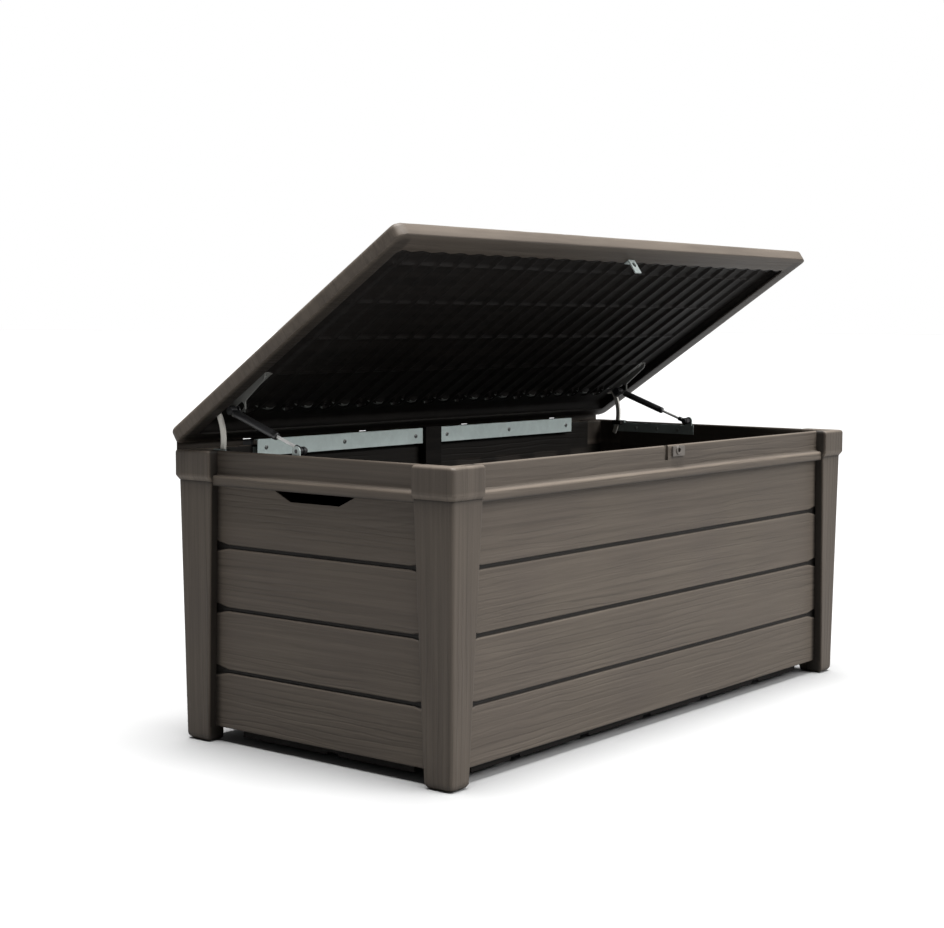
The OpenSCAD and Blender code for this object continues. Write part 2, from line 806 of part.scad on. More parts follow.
module cylinder_eye(side) {
    color(steel) on_strut(side) difference() {
        union() {
            bar_x(strut_x - eye_w / 2, strut_x + eye_w / 2, strut_l, 0, eye_outer_r);
            bar_y(strut_x, strut_l - 10, strut_l - 5, 0, neck_r);
            bar_y(strut_x, strut_l - 12, strut_l - 9.5, 0, 5);
        }
        bar_x(strut_x - eye_w, strut_x + eye_w, strut_l, 0, pin_r);
        bar_y(strut_x, strut_l - 13, strut_l - 9, 0, 2.4);
    }
}

module clevis_pin(side) {
    plate = bracket_x + bracket_t / 2;
    color(dark_steel) on_strut(side) {
        bar_x(plate - bracket_t - 2, strut_x + eye_w / 2, strut_l, 0, pin_r);
        bar_x(plate + 0.4, strut_x - eye_w / 2, strut_l, 0, 8.4);
        bar_x(plate - bracket_t - 4.4, plate - bracket_t - 0.4, strut_l, 0, 9);
    }
}

// ---- Assembly ----

translate([0, frame_y, 0]) {
    floor_panel();
    front_panel();
    rear_panel();
    centre_support();
    rail_screws();
    lock_plate();
    side_plate_screws();
    hinge_screws();
    lid_shell();
    lid_liner();
    lid_tongue();
    lid_screws();
    for (c = CORNERS) {
        post(c);
        cap(c);
    }
    for (i = [0 : 3]) {
        body_leaf(i);
        hinge_pin(i);
        lid_leaf(i);
    }
    for (s = SIDES) {
        side_panel(s);
        rail(s);
        handle_cup(s);
        side_plate(s);
        stay_guide(s);
        pivot_pin(s);
        lid_bracket(s);
        stay_arm(s);
        strut_rod(s);
        rod_eye(s);
        strut_cylinder(s);
        cylinder_eye(s);
        clevis_pin(s);
    }
}
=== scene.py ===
"""Looks of the deck storage box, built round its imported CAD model.

Metres, +Z up, +X along the long side, and the front faces -Y. Lid pieces are shaped closed and turned
to the open rest pose about the hinge.
"""
import json
import math

import bmesh
import bpy
import numpy as np
from mathutils import Matrix, Vector


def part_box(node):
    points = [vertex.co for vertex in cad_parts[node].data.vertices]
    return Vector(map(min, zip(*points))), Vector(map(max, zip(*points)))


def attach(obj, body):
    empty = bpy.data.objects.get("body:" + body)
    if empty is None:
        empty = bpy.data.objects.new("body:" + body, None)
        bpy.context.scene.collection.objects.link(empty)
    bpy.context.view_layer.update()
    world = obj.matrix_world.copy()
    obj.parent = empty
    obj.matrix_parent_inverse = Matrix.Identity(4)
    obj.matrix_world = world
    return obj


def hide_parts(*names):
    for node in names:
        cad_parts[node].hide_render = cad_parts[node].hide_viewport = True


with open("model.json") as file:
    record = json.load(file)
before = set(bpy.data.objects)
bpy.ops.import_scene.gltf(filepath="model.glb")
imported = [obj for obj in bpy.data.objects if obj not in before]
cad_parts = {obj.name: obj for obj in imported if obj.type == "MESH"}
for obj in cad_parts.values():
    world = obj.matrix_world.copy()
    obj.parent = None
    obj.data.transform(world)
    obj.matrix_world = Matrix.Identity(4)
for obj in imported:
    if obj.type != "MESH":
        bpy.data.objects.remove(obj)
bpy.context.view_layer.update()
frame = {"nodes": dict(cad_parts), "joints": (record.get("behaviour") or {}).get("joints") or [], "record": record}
joints = {j["name"]: j for j in frame["joints"]}
scene = bpy.context.scene

# ---- Places, from the frame ----

cap_low, cap_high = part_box("front_left_cap")
rear_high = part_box("rear_right_cap")[1]
RIM = cap_high.z
CAP_Z = cap_low.z
MID_Y = (cap_low.y + rear_high.y) / 2
HALF_L = rear_high.x
HALF_W = rear_high.y - MID_Y
POST_LONG_TOP = cap_high.x - cap_low.x
POST_SHORT_TOP = cap_high.y - cap_low.y
hinge = Vector(joints["lid_hinge"]["pos_m"])
OPEN = -math.radians(joints["lid_hinge"]["range_deg"][0])

# ---- Sizes of the walls and posts ----

TAPER = 0.0077
WALL_T = 0.032
PLANK_D = 0.025
SKIN_T = 0.004
PANEL_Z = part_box("front_panel")[0].z
GROOVES = [0.3786 - i * 0.1196 for i in (2, 1, 0)]
GROOVE_HALF = 0.0035
GROOVE_D = 0.0045
POST_LONG_FOOT = 0.062
POST_SHORT_FOOT = 0.075
POST_D = 0.0058
RIM_D = 0.024
LEDGE_D = 0.011
LEDGE_LOW = RIM - 0.066
LEDGE_TOP = RIM - 0.047
LIP_R = 0.0007
SHARP = 40  # degrees between faces that shade as a sharp edge


def lean(z):
    """How far the faces lean in at a height, below the caps."""
    return TAPER * np.clip((CAP_Z - np.asarray(z, float)) / CAP_Z, 0, 1)


# ---- Noise and wood grain ----

def noise(x, y, seed):
    """Smooth noise from -1 to 1 over two arrays."""
    xi, yi = np.floor(x).astype(np.int64), np.floor(y).astype(np.int64)
    fx, fy = x - xi, y - yi
    fx, fy = fx * fx * (3 - 2 * fx), fy * fy * (3 - 2 * fy)

    def lattice(i, j):
        n = (i * 374761393 + j * 668265263 + seed * 974634777) & 0xFFFFFFFF
        n = ((n ^ (n >> 13)) * 1274126177) & 0xFFFFFFFF
        return ((n ^ (n >> 16)) & 0xFFFF) / 32767.5 - 1

    low = lattice(xi, yi) * (1 - fx) + lattice(xi + 1, yi) * fx
    high = lattice(xi, yi + 1) * (1 - fx) + lattice(xi + 1, yi + 1) * fx
    return low * (1 - fy) + high * fy


def grain_relief(u, v, seed):
    """Height of embossed wood grain, with u along the grain, v across it, and a knot here and there."""
    u, v = np.broadcast_arrays(np.asarray(u, float), np.asarray(v, float))
    warp = 1.5 * noise(u * 2.1, v * 8, seed) + 0.45 * noise(u * 7, v * 26, seed + 1)
    for k in range(3):
        ku = ((seed * 0.37 + k * 0.61) % 1.3) - 0.65
        kv = ((seed * 0.53 + k * 0.29) % 0.5) + 0.03
        warp = warp + 1.7 * np.exp(-(((u - ku) / 0.055) ** 2 + ((v - kv) / 0.017) ** 2))
    phase = v / 0.0115 + warp * 1.5
    lines = np.maximum(0, np.cos(2 * np.pi * phase)) ** 3
    fine = noise(u * 9, v * 330, seed + 2)
    patch = 0.55 + 0.45 * noise(u * 3, v * 14, seed + 3)
    return 0.0001 * fine - 0.00042 * lines * patch


# ---- Mesh helpers ----

def fillet_loop(corners, radii, arc_n, edge_n):
    """Points round a closed outline: each corner rounded by its radius, and edge_n points along each edge."""
    corners = [np.array(c, float) for c in corners]
    count = len(corners)
    starts, points = [], []
    for i, c in enumerate(corners):
        a, b = corners[i - 1] - c, corners[(i + 1) % count] - c
        a, b = a / np.linalg.norm(a), b / np.linalg.norm(b)
        if radii[i] <= 0 or arc_n[i] == 0:
            starts.append([c])
            continue
        half = math.acos(max(-1, min(1, float(a @ b)))) / 2
        middle = (a + b) / np.linalg.norm(a + b)
        centre = c + middle * radii[i] / math.sin(half)
        first = c + a * radii[i] / math.tan(half) - centre
        last = c + b * radii[i] / math.tan(half) - centre
        sweep = math.pi - 2 * half
        arc = []
        for k in range(arc_n[i] + 1):
            s = k / arc_n[i]
            arc.append(centre + (math.sin((1 - s) * sweep) * first + math.sin(s * sweep) * last)
                       / math.sin(sweep))
        starts.append(arc)
    for i in range(count):
        points.extend(starts[i])
        end, begin = starts[i][-1], starts[(i + 1) % count][0]
        points.extend(end + (begin - end) * k / (edge_n[i] + 1) for k in range(1, edge_n[i] + 1))
    return np.array(points)


def ring_faces(rings, count, first=0):
    """Quads between rings of count points each."""
    faces = []
    for r in range(rings - 1):
        for k in range(count):
            a, b = first + r * count + k, first + r * count + (k + 1) % count
            faces.append((a, b, b + count, a + count))
    return faces


def loft_faces(rings, count, first=0):
    """Quads between rings, and an end face on the first and the last ring."""
    last = first + (rings - 1) * count
    ends = [tuple(reversed(range(first, first + count))), tuple(range(last, last + count))]
    return ring_faces(rings, count, first=first) + ends


def add_piece(name, points, faces, body, slot, material, replaces=(), grain=None, painted_shading=None, sharp=35,
              flip=False):
    """A new mesh that rides on a body, with its grain and painted shading attributes."""
    mesh = bpy.data.meshes.new(name)
    if flip:
        faces = [tuple(reversed(f)) for f in faces]
    mesh.from_pydata(np.asarray(points, float).tolist(), [], faces)
    mesh.update()
    if grain is not None:
        data = mesh.attributes.new("grain", "FLOAT_VECTOR", "POINT")
        data.data.foreach_set("vector", np.asarray(grain, np.float32).ravel())
    if painted_shading is not None:
        data = mesh.attributes.new("painted_shading", "FLOAT", "POINT")
        data.data.foreach_set("value", np.asarray(painted_shading, np.float32).ravel())
    mesh.polygons.foreach_set("use_smooth", [True] * len(mesh.polygons))
    mesh.set_sharp_from_angle(angle=math.radians(sharp))
    obj = bpy.data.objects.new(name, mesh)
    scene.collection.objects.link(obj)
    obj.data.materials.append(material)
    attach(obj, body)
    if replaces:
        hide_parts(*replaces)
    return obj


def lathe(profile, start, direction, count=48):
    """A solid of revolution: profile holds (distance along, radius), from one end to the other."""
    direction = Vector(direction).normalized()
    side = direction.orthogonal().normalized()
    up = direction.cross(side)
    points = []
    for along, radius in profile:
        for k in range(count):
            a = 2 * math.pi * k / count
            points.append(Vector(start) + direction * along
                          + (side * math.cos(a) + up * math.sin(a)) * max(radius, 1e-6))
    return points, loft_faces(len(profile), count)


def joined(parts):
    """Several (points, faces) pairs as one."""
    points, faces = [], []
    for p, f in parts:
        base = len(points)
        points.extend(p)
        faces.extend(tuple(i + base for i in face) for face in f)
    return points, faces


def lid_open(points):
    """Points shaped with the lid closed, turned to the rest pose."""
    p = np.asarray(points, float) - np.array(hinge)
    c, s = math.cos(-OPEN), math.sin(-OPEN)
    turned = np.stack([p[:, 0], p[:, 1] * c - p[:, 2] * s, p[:, 1] * s + p[:, 2] * c], 1)
    return turned + np.array(hinge)


# ---- Materials ----

def new_material(name):
    material = bpy.data.materials.new(name)
    material.use_nodes = True
    tree = material.node_tree
    return material, tree, tree.nodes["Principled BSDF"]


def add_node(tree, kind, **settings):
    node = tree.nodes.new(kind)
    for key, value in settings.items():
        if key in node.inputs:
            node.inputs[key].default_value = value
        else:
            setattr(node, key, value)
    return node


def ramp(tree, factor, stops):
    node = tree.nodes.new("ShaderNodeValToRGB")
    while len(node.color_ramp.elements) < len(stops):
        node.color_ramp.elements.new(0.5)
    for element, (place, colour) in zip(node.color_ramp.elements, stops):
        element.position = place
        element.color = (*colour, 1)
    tree.links.new(factor, node.inputs["Fac"])
    return node.outputs["Color"]


def mix(tree, factor, a, b, blend="MIX"):
    node = tree.nodes.new("ShaderNodeMix")
    node.data_type = "RGBA"
    node.blend_type = blend
    for socket, value in ((node.inputs["Factor"], factor), (node.inputs[6], a), (node.inputs[7], b)):
        if isinstance(value, bpy.types.NodeSocket):
            tree.links.new(value, socket)
        elif isinstance(value, (int, float)):
            socket.default_value = value
        else:
            socket.default_value = (*value, 1)
    return node.outputs[2]


def stretched(tree, source, scale):
    node = tree.nodes.new("ShaderNodeVectorMath")
    node.operation = "MULTIPLY"
    tree.links.new(source, node.inputs[0])
    node.inputs[1].default_value = scale
    return node.outputs[0]


def noise_node(tree, vector, scale, detail, roughness, distortion=0.0):
    node = add_node(tree, "ShaderNodeTexNoise", Scale=scale, Detail=detail, Roughness=roughness,
                    Distortion=distortion)
    tree.links.new(vector, node.inputs["Vector"])
    return node.outputs["Fac"]


def bump(tree, shader, heights):
    """Chained bumps: each (height socket, strength, distance)."""
    normal = None
    for height, strength, distance in heights:
        node = add_node(tree, "ShaderNodeBump", Strength=strength, Distance=distance)
        tree.links.new(height, node.inputs["Height"])
        if normal is not None:
            tree.links.new(normal, node.inputs["Normal"])
        normal = node.outputs["Normal"]
    tree.links.new(normal, shader.inputs["Normal"])


def map_range(tree, value, from_low, from_high, to_low, to_high):
    node = tree.nodes.new("ShaderNodeMapRange")
    tree.links.new(value, node.inputs["Value"])
    for key, number in (("From Min", from_low), ("From Max", from_high), ("To Min", to_low),
                        ("To Max", to_high)):
        node.inputs[key].default_value = number
    return node.outputs["Result"]


def resin_material(name, dark, mid, light, grained, roughness=(0.54, 0.62), specular=0.3):
    """Moulded resin. The grained kind has embossed wood grain, with painted shade in hollows and painted
    highlights on edges.
    """
    material, tree, shader = new_material(name)
    place = add_node(tree, "ShaderNodeTexCoord").outputs["Object"]
    along = place
    if grained:
        along = add_node(tree, "ShaderNodeAttribute", attribute_name="grain").outputs["Vector"]
    streak_scale = (2.2, 95, 40) if grained else (3, 60, 60)
    fine_scale = (8, 620, 90) if grained else (30, 300, 300)
    streaks = noise_node(tree, stretched(tree, along, streak_scale), 1.0, 5, 0.62, 0.35)
    fine = noise_node(tree, stretched(tree, along, fine_scale), 1.0, 3, 0.6)
    mottle = noise_node(tree, place, 5.5, 3, 0.5)
    speck = noise_node(tree, place, 900, 2, 0.5)
    colour = ramp(tree, streaks, [(0.3, dark), (0.5, mid), (0.7, light)])
    shade = ramp(tree, mottle, [(0.3, (0.84, 0.82, 0.82)), (0.7, (1.0, 1.0, 0.98))])
    colour = mix(tree, 0.8, colour, shade, "MULTIPLY")
    fine_shade = ramp(tree, fine, [(0.35, (0.86, 0.855, 0.85)), (0.62, (1.0, 1.0, 1.0))])
    colour = mix(tree, 0.6, colour, fine_shade, "MULTIPLY")
    heights = [(streaks, 0.22, 0.0012), (fine, 0.25, 0.0005), (speck, 0.1, 0.0003)]
    if grained:
        wave = add_node(tree, "ShaderNodeTexWave", Scale=26.0, Distortion=7.0, Detail=3.0)
        wave.bands_direction = "Y"
        wave.inputs["Detail Scale"].default_value = 0.9
        wave.inputs["Detail Roughness"].default_value = 0.55
        tree.links.new(stretched(tree, along, (0.13, 1, 0.6)), wave.inputs["Vector"])
        lines = ramp(tree, wave.outputs["Fac"], [(0.0, (0, 0, 0)), (0.34, (1, 1, 1))])
        patch = noise_node(tree, stretched(tree, along, (2.6, 14, 9)), 1.0, 2, 0.5)
        strength = map_range(tree, patch, 0.36, 0.62, 0.0, 1.0)
        lines = mix(tree, strength, (1, 1, 1), lines)
        colour = mix(tree, 0.14, colour, lines, "MULTIPLY")
        heights.append((lines, 0.34, 0.0011))
        # Painted shade where the attribute is below 0, painted highlight where it is above 0.
        shading_level = add_node(tree, "ShaderNodeAttribute", attribute_name="painted_shading").outputs["Fac"]
        pale = map_range(tree, shading_level, 0.0, 1.0, 1.0, 1.5)
        painted_shade = map_range(tree, shading_level, -1.0, 0.0, 0.10, 1.0)
        both = tree.nodes.new("ShaderNodeMath")
        both.operation = "MULTIPLY"
        tree.links.new(pale, both.inputs[0])
        tree.links.new(painted_shade, both.inputs[1])
        grey = tree.nodes.new("ShaderNodeCombineColor")
        for channel in ("Red", "Green", "Blue"):
            tree.links.new(both.outputs[0], grey.inputs[channel])
        colour = mix(tree, 1.0, colour, grey.outputs["Color"], "MULTIPLY")
    tree.links.new(colour, shader.inputs["Base Color"])
    tree.links.new(map_range(tree, mottle, 0.3, 0.7, *roughness), shader.inputs["Roughness"])
    shader.inputs["Specular IOR Level"].default_value = specular
    bump(tree, shader, heights)
    return material


def metal_material(name, base, roughness, metallic=1.0, spangle=0.0, brushed=0.0, patchy=0.72):
    """Zinc, steel or paint: spangled or brushed, with handled patches."""
    material, tree, shader = new_material(name)
    place = add_node(tree, "ShaderNodeTexCoord").outputs["Object"]
    patches = noise_node(tree, place, 26, 5, 0.6)
    fine = noise_node(tree, place, 420, 3, 0.6)
    low = tuple(c * patchy for c in base)
    colour = ramp(tree, patches, [(0.32, low), (0.68, base)])
    heights = [(fine, 0.15, 0.0003)]
    if spangle:
        cells = add_node(tree, "ShaderNodeTexVoronoi", Scale=95.0)
        tree.links.new(place, cells.inputs["Vector"])
        flakes = ramp(tree, cells.outputs["Color"], [(0.2, (0.8, 0.8, 0.8)), (0.8, (1.15, 1.15, 1.15))])
        colour = mix(tree, spangle, colour, flakes, "MULTIPLY")
    if brushed:
        lines = noise_node(tree, stretched(tree, place, (40, 900, 900)), 1.0, 3, 0.6)
        heights.append((lines, brushed, 0.0003))
    tree.links.new(colour, shader.inputs["Base Color"])
    tree.links.new(map_range(tree, patches, 0.3, 0.7, roughness - 0.05, roughness + 0.08),
                   shader.inputs["Roughness"])
    shader.inputs["Metallic"].default_value = metallic
    bump(tree, shader, heights)
    return material


RESIN = resin_material("resin_wood_grain", (0.055, 0.0448, 0.0355), (0.065, 0.0532, 0.0425),
                       (0.077, 0.0635, 0.051), True, specular=0.22)
RESIN_PLAIN = resin_material("resin_plain", (0.055, 0.0448, 0.0355), (0.063, 0.0515, 0.041),
                             (0.071, 0.0585, 0.047), False, specular=0.22)
DARK = resin_material("dark_resin", (0.005, 0.0044, 0.004), (0.008, 0.0068, 0.006),
                      (0.012, 0.0102, 0.009), False, (0.6, 0.75), 0.12)
# Lighter grey-green resin for the pads on the lid's inner panel.
PAD = resin_material("light_pad_resin", (0.07, 0.075, 0.07), (0.12, 0.128, 0.12), (0.18, 0.19, 0.18), False,
                     (0.4, 0.55), 0.3)
ZINC = metal_material("galvanised_zinc", (0.60, 0.69, 0.67), 0.5, metallic=0.15, spangle=0.18, patchy=0.9)
ARM = metal_material("pale_steel", (0.62, 0.60, 0.55), 0.5, metallic=0.15, patchy=0.85)
BRACKET = metal_material("bracket_steel", (0.15, 0.15, 0.14), 0.5, metallic=0.15, patchy=0.8)
PLATE = metal_material("plate_steel", (0.30, 0.34, 0.33), 0.5, metallic=0.15, spangle=0.18, patchy=0.85)
LOCK = metal_material("lock_steel", (0.080, 0.070, 0.061), 0.5, metallic=0.2, brushed=0.25)
ROD = metal_material("polished_rod", (0.86, 0.86, 0.84), 0.3, metallic=0.3)
PAINT = metal_material("black_paint", (0.018, 0.018, 0.019), 0.4, metallic=0.0)
SCREW = metal_material("screw_steel", (0.30, 0.31, 0.30), 0.4, metallic=0.7, brushed=0.2)
SLOT_MATERIALS = {"resin": RESIN_PLAIN, "dark_resin": DARK, "galvanised_steel": ZINC, "lock_steel": LOCK,
                  "rod_steel": ROD, "strut_paint": PAINT, "screw_steel": SCREW}
NODE_MATERIALS = {"stay_arm": ARM, "lid_bracket": BRACKET, "side_plate": PLATE, "tongue": PLATE}


# ---- Walls ----

def plank_path(t, post_edge):
    """The plank wall's closed section at a place along it: (depth, height) outside and then inside."""
    levels = [PANEL_Z]
    for z in GROOVES:
        near = np.clip(1 - (post_edge(z) - abs(t)) / 0.028, 0, 1.15)
        half = GROOVE_HALF + 0.0055 * near
        levels += [z - half, z + half]
    levels.append(CAP_Z)
    # Each point also carries a kind and its painted shading: painted shade in the grooves, on the planks' lower
    # edges, under the ledge and on the inside, and a painted highlight on each plank's upper edge.
    radius = 0.0026
    outside = []
    for i in range(0, len(levels), 2):
        low, high = levels[i], levels[i + 1]
        samples = 10 if i + 2 == len(levels) else 0
        n = int(round(0.115 / 0.0024)) + samples
        for k in range(5):
            a = math.pi / 2 * k / 4
            outside.append((PLANK_D + radius * (1 - math.sin(a)), low + radius * (1 - math.cos(a)), 0,
                            -0.55 + 0.75 * k / 4))
        for k in range(1, n):
            outside.append((PLANK_D, low + radius + (high - low - 2 * radius) * k / n, 1, 0))
        if i + 2 < len(levels):
            for k in range(5):
                a = math.pi / 2 * k / 4
                outside.append((PLANK_D + radius * (1 - math.cos(a)),
                                high - radius * (1 - math.sin(a)), 0, 0.4 - 1.1 * k / 4))
            wide = levels[i + 2] - high
            for share in (0.16, 0.5, 0.84):
                outside.append((PLANK_D + GROOVE_D, high + wide * share, 0, -1))
        else:
            outside.append((PLANK_D, high, 0, -0.8))
    inside_z = np.linspace(CAP_Z, PANEL_Z, 44)
    inside = [(PLANK_D + SKIN_T + 0.0026, z, 2, -0.55) for z in inside_z]
    return np.array(outside + inside)


def wall_points(t, path, seed, pilaster, inner_shading):
    """Turns a section at t into (depth, height), with its relief and leaning in, the plank of each point and its
    painted shading.
    """
    depth, z, kind, painted_shading = path[:, 0].copy(), path[:, 1], path[:, 2], path[:, 3].copy()
    plank = np.searchsorted(GROOVES, z)
    relief = np.zeros(len(z))
    for p in range(4):
        on = (plank == p) & (kind == 1)
        relief[on] = grain_relief(np.full(on.sum(), t), z[on], seed + 11 * p)
    depth = depth - relief + lean(z)
    depth[kind == 2] += pilaster(t) * np.clip((z[kind == 2] - 0.035) / 0.012, 0, 1) * \
        np.clip((0.478 - z[kind == 2]) / 0.012, 0, 1)
    # Painted shade on the inside, lightened by a painted highlight on the pilasters.
    painted_shading[kind == 2] = inner_shading + 0.2 * min(1, pilaster(t) / 0.0045)
    return depth, z, plank, painted_shading


def smooth_step(x):
    """Rises smoothly from 0 to 1 as x does."""
    x = np.clip(x, 0, 1)
    return x * x * (3 - 2 * x)


def columns(reach, fine_from, step=0.0095, fine=0.0038):
    """Places along a wall from -reach to reach, closer together near its ends."""
    half = list(np.arange(0, fine_from, step)) + list(np.arange(fine_from, reach, fine)) + [reach]
    half = np.array(half)
    return np.concatenate([-half[:0:-1], half])


RIM_CORNERS = [(WALL_T, LEDGE_LOW), (LEDGE_D, LEDGE_LOW), (LEDGE_D, LEDGE_TOP), (RIM_D, LEDGE_TOP + 0.002),
               (RIM_D, RIM), (WALL_T, RIM)]
RIM_RADII = [0, 0.003, 0.0055, 0.004, 0.0038, 0.0038]
RIM_ARCS = [0, 4, 6, 4, 5, 5]
RIM_EDGES = [3, 3, 2, 13, 1, 8]


# inner_shading is the painted shade on a wall's inside.
def wall(name, half, other, end_d, post_top, post_foot, turn, seed, node, inner_shading=-0.1):
    """One wall: planks below, then the ledge and rim. turn is the angle that its outside faces."""
    points, grain, painted_shading = [], [], []
    c, s = math.cos(turn), math.sin(turn)

    def place(depth, t, z):
        out = half - depth
        return np.stack([out * c - t * s, out * s + t * c + MID_Y, z + 0 * t], 1)

    def post_edge(z):
        return other - (post_foot + (post_top - post_foot) * z / CAP_Z)

    def pilaster(t):
        pitch, wide, edge = 0.15, 0.088, 0.008
        off = abs((t / pitch + 0.5) % 1 - 0.5) * pitch
        return 0.0045 * float(smooth_step((wide / 2 - off) / edge + 0.5))

    reach = other - end_d
    places = columns(reach, reach - 0.13)
    for t in places:
        path = plank_path(t, post_edge)
        depth, z, plank, shading_level = wall_points(t, path, seed, pilaster, inner_shading)
        # Painted shade on the outside where the wall meets a post.
        beside = np.clip(1 - (post_edge(z) - abs(t)) / 0.012, 0, 1)
        shading_level = np.where(path[:, 2] == 2, shading_level, np.maximum(shading_level - 0.75 * beside ** 1.5, -1))
        along = t * (reach - lean(z)) / reach
        points.append(place(depth, along, z))
        grain.append(np.stack([along + seed * 3.1 + plank * 0.71, z + 0.13 * plank, plank * 0.37 + depth], 1))
        painted_shading.append(shading_level)
    faces = loft_faces(len(places), len(path))

    base = len(places) * len(path)
    reach = other - post_top
    path = fillet_loop(RIM_CORNERS, RIM_RADII, RIM_ARCS, RIM_EDGES)
    tangent = np.roll(path, -1, 0) - np.roll(path, 1, 0)
    upright = np.abs(tangent[:, 1]) / np.linalg.norm(tangent, axis=1)
    outer = upright * (path[:, 0] < RIM_D + 0.0005)
    # Painted shading of the ledge and rim: painted shade under the ledge, just above it and on the inside, painted
    # highlights on the ledge's top and the rim's top edge, and the rim face a little darker.
    rim_shading = np.interp(path[:, 1], (LEDGE_LOW, LEDGE_LOW + 0.004, LEDGE_TOP - 0.006, LEDGE_TOP - 0.002,
                                    LEDGE_TOP + 0.002, LEDGE_TOP + 0.006, RIM - 0.004, RIM),
                       (-0.8, -0.1, 0, 0.6, -0.25, -0.15, -0.15, 0.3))
    rim_shading = np.where(path[:, 0] > WALL_T - 0.001, np.minimum(rim_shading, inner_shading), rim_shading)
    rim_shading = np.where((path[:, 0] > LEDGE_D + 0.004) & (path[:, 1] < LEDGE_LOW + 0.001), -0.9, rim_shading)
    places = columns(reach, reach - 0.02)
    for t in places:
        depth = path[:, 0] - outer * grain_relief(np.full(len(path), t), path[:, 1], seed + 60)
        points.append(place(depth, np.full(len(path), t), path[:, 1]))
        grain.append(np.stack([np.full(len(path), t + seed * 1.7), path[:, 1], depth], 1))
        painted_shading.append(rim_shading)
    faces += loft_faces(len(places), len(path), first=base)
    return add_piece(name, np.concatenate(points), faces, "box", "resin", RESIN, (node,),
                     np.concatenate(grain), np.concatenate(painted_shading), sharp=SHARP, flip=True)


def cut_out(obj, corners, depth_axis, low, high):
    """Cuts a prism through a wall. corners are (along, height); it spans low to high across the wall."""
    points = []
    for across in (low, high):
        for along, z in corners:
            points.append((across, along, z) if depth_axis == 0 else (along, across, z))
    n = len(corners)
    faces = [tuple(range(n)), tuple(reversed(range(n, 2 * n)))]
    faces += [(i, i + n, (i + 1) % n + n, (i + 1) % n) for i in range(n)]
    mesh = bpy.data.meshes.new("cutter")
    mesh.from_pydata(points, [], faces)
    mesh.update()
    bm = bmesh.new()
    bm.from_mesh(mesh)
    bmesh.ops.recalc_face_normals(bm, faces=bm.faces)
    bm.to_mesh(mesh)
    bm.free()
    cutter = bpy.data.objects.new("cutter", mesh)
    scene.collection.objects.link(cutter)
    modifier = obj.modifiers.new("cut", "BOOLEAN")
    modifier.operation = "DIFFERENCE"
    modifier.solver = "EXACT"
    modifier.object = cutter
    graph = bpy.context.evaluated_depsgraph_get()
    result = bpy.data.meshes.new_from_object(obj.evaluated_get(graph))
    obj.modifiers.clear()
    old = obj.data
    obj.data = result
    bpy.data.meshes.remove(old)
    bpy.data.objects.remove(cutter)
    obj.data.set_sharp_from_angle(angle=math.radians(SHARP))


HANDLE_TOP = LEDGE_LOW - 0.001
HANDLE_LOW = HANDLE_TOP - 0.019
LONG = dict(half=HALF_W, other=HALF_L, end_d=PLANK_D, post_top=POST_LONG_TOP, post_foot=POST_LONG_FOOT)
SHORT = dict(half=HALF_L, other=HALF_W, end_d=PLANK_D + SKIN_T + 0.003, post_top=POST_SHORT_TOP,
             post_foot=POST_SHORT_FOOT)
front_wall = wall("front_wall", turn=-math.pi / 2, seed=3, node="front_panel", **LONG)
# The rear wall's inside gets deep painted shade.
wall("rear_wall", turn=math.pi / 2, seed=9, node="rear_panel", inner_shading=-0.95, **LONG)
for side, sign, turn, seed in (("left", -1, math.pi, 5), ("right", 1, 0, 14)):
    side_wall = wall(f"{side}_wall", turn=turn, seed=seed, node=f"{side}_panel", **SHORT)
    recess = [(MID_Y - 0.06, HANDLE_LOW), (MID_Y + 0.06, HANDLE_LOW), (MID_Y + 0.1, HANDLE_TOP),
              (MID_Y - 0.1, HANDLE_TOP)]
    cut_out(side_wall, recess, 0, sign * (HALF_L - 0.06), sign * (HALF_L + 0.01))
latch_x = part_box("lock_plate")[0].x + 0.020
notch = [(latch_x + dx, RIM + dz) for dx, dz in ((-0.046, -0.030), (-0.033, -0.030), (-0.033, 0.002),
                                                 (-0.046, 0.002))]
face_y = MID_Y - HALF_W
cut_out(front_wall, notch, 1, face_y - 0.01, face_y + RIM_D + 0.005)
bore = [(latch_x + 0.0092 * math.cos(a), RIM - 0.011 + 0.0092 * math.sin(a))
        for a in [2 * math.pi * k / 32 for k in range(32)]]
cut_out(front_wall, bore, 1, face_y - 0.01, face_y + WALL_T + 0.01)


def hinge_pads():
    """Blocks on the rear rim that carry the hinge leaves."""
    parts = []
    for i in range(1, 5):
        low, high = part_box(f"hinge_{i}_body_leaf")
        x0, x1 = low.x - 0.003, high.x + 0.003
        y0, y1 = MID_Y + HALF_W - RIM_D - 0.003, MID_Y + HALF_W
        outline = fillet_loop([(x0, y0), (x1, y0), (x1, y1), (x0, y1)], [0, 0, 0.005, 0.005], [0, 0, 5, 5],
                              [1, 1, 3, 1])
        rings = []
        middle = np.array([(x0 + x1) / 2, y0])
        z0, z1 = RIM - 0.046, RIM - 0.004
        for z, inset in ((z0, 0.002), (z0 + 0.0006, 0.0006), (z0 + 0.002, 0), (z1 - 0.002, 0),
                         (z1 - 0.0006, 0.0006), (z1, 0.002)):
            scale = 1 - inset / 0.038
            ring = middle + (outline - middle) * scale
            rings.append(np.column_stack([ring, np.full(len(ring), z)]))
        parts.append((np.concatenate(rings).tolist(), loft_faces(len(rings), len(outline))))
    points, faces = joined(parts)
    grain = np.array(points) * (1, 0, 0) + np.array([(0, p[2], p[1]) for p in points])
    add_piece("hinge_pads", points, faces, "box", "resin", RESIN, grain=grain)


hinge_pads()


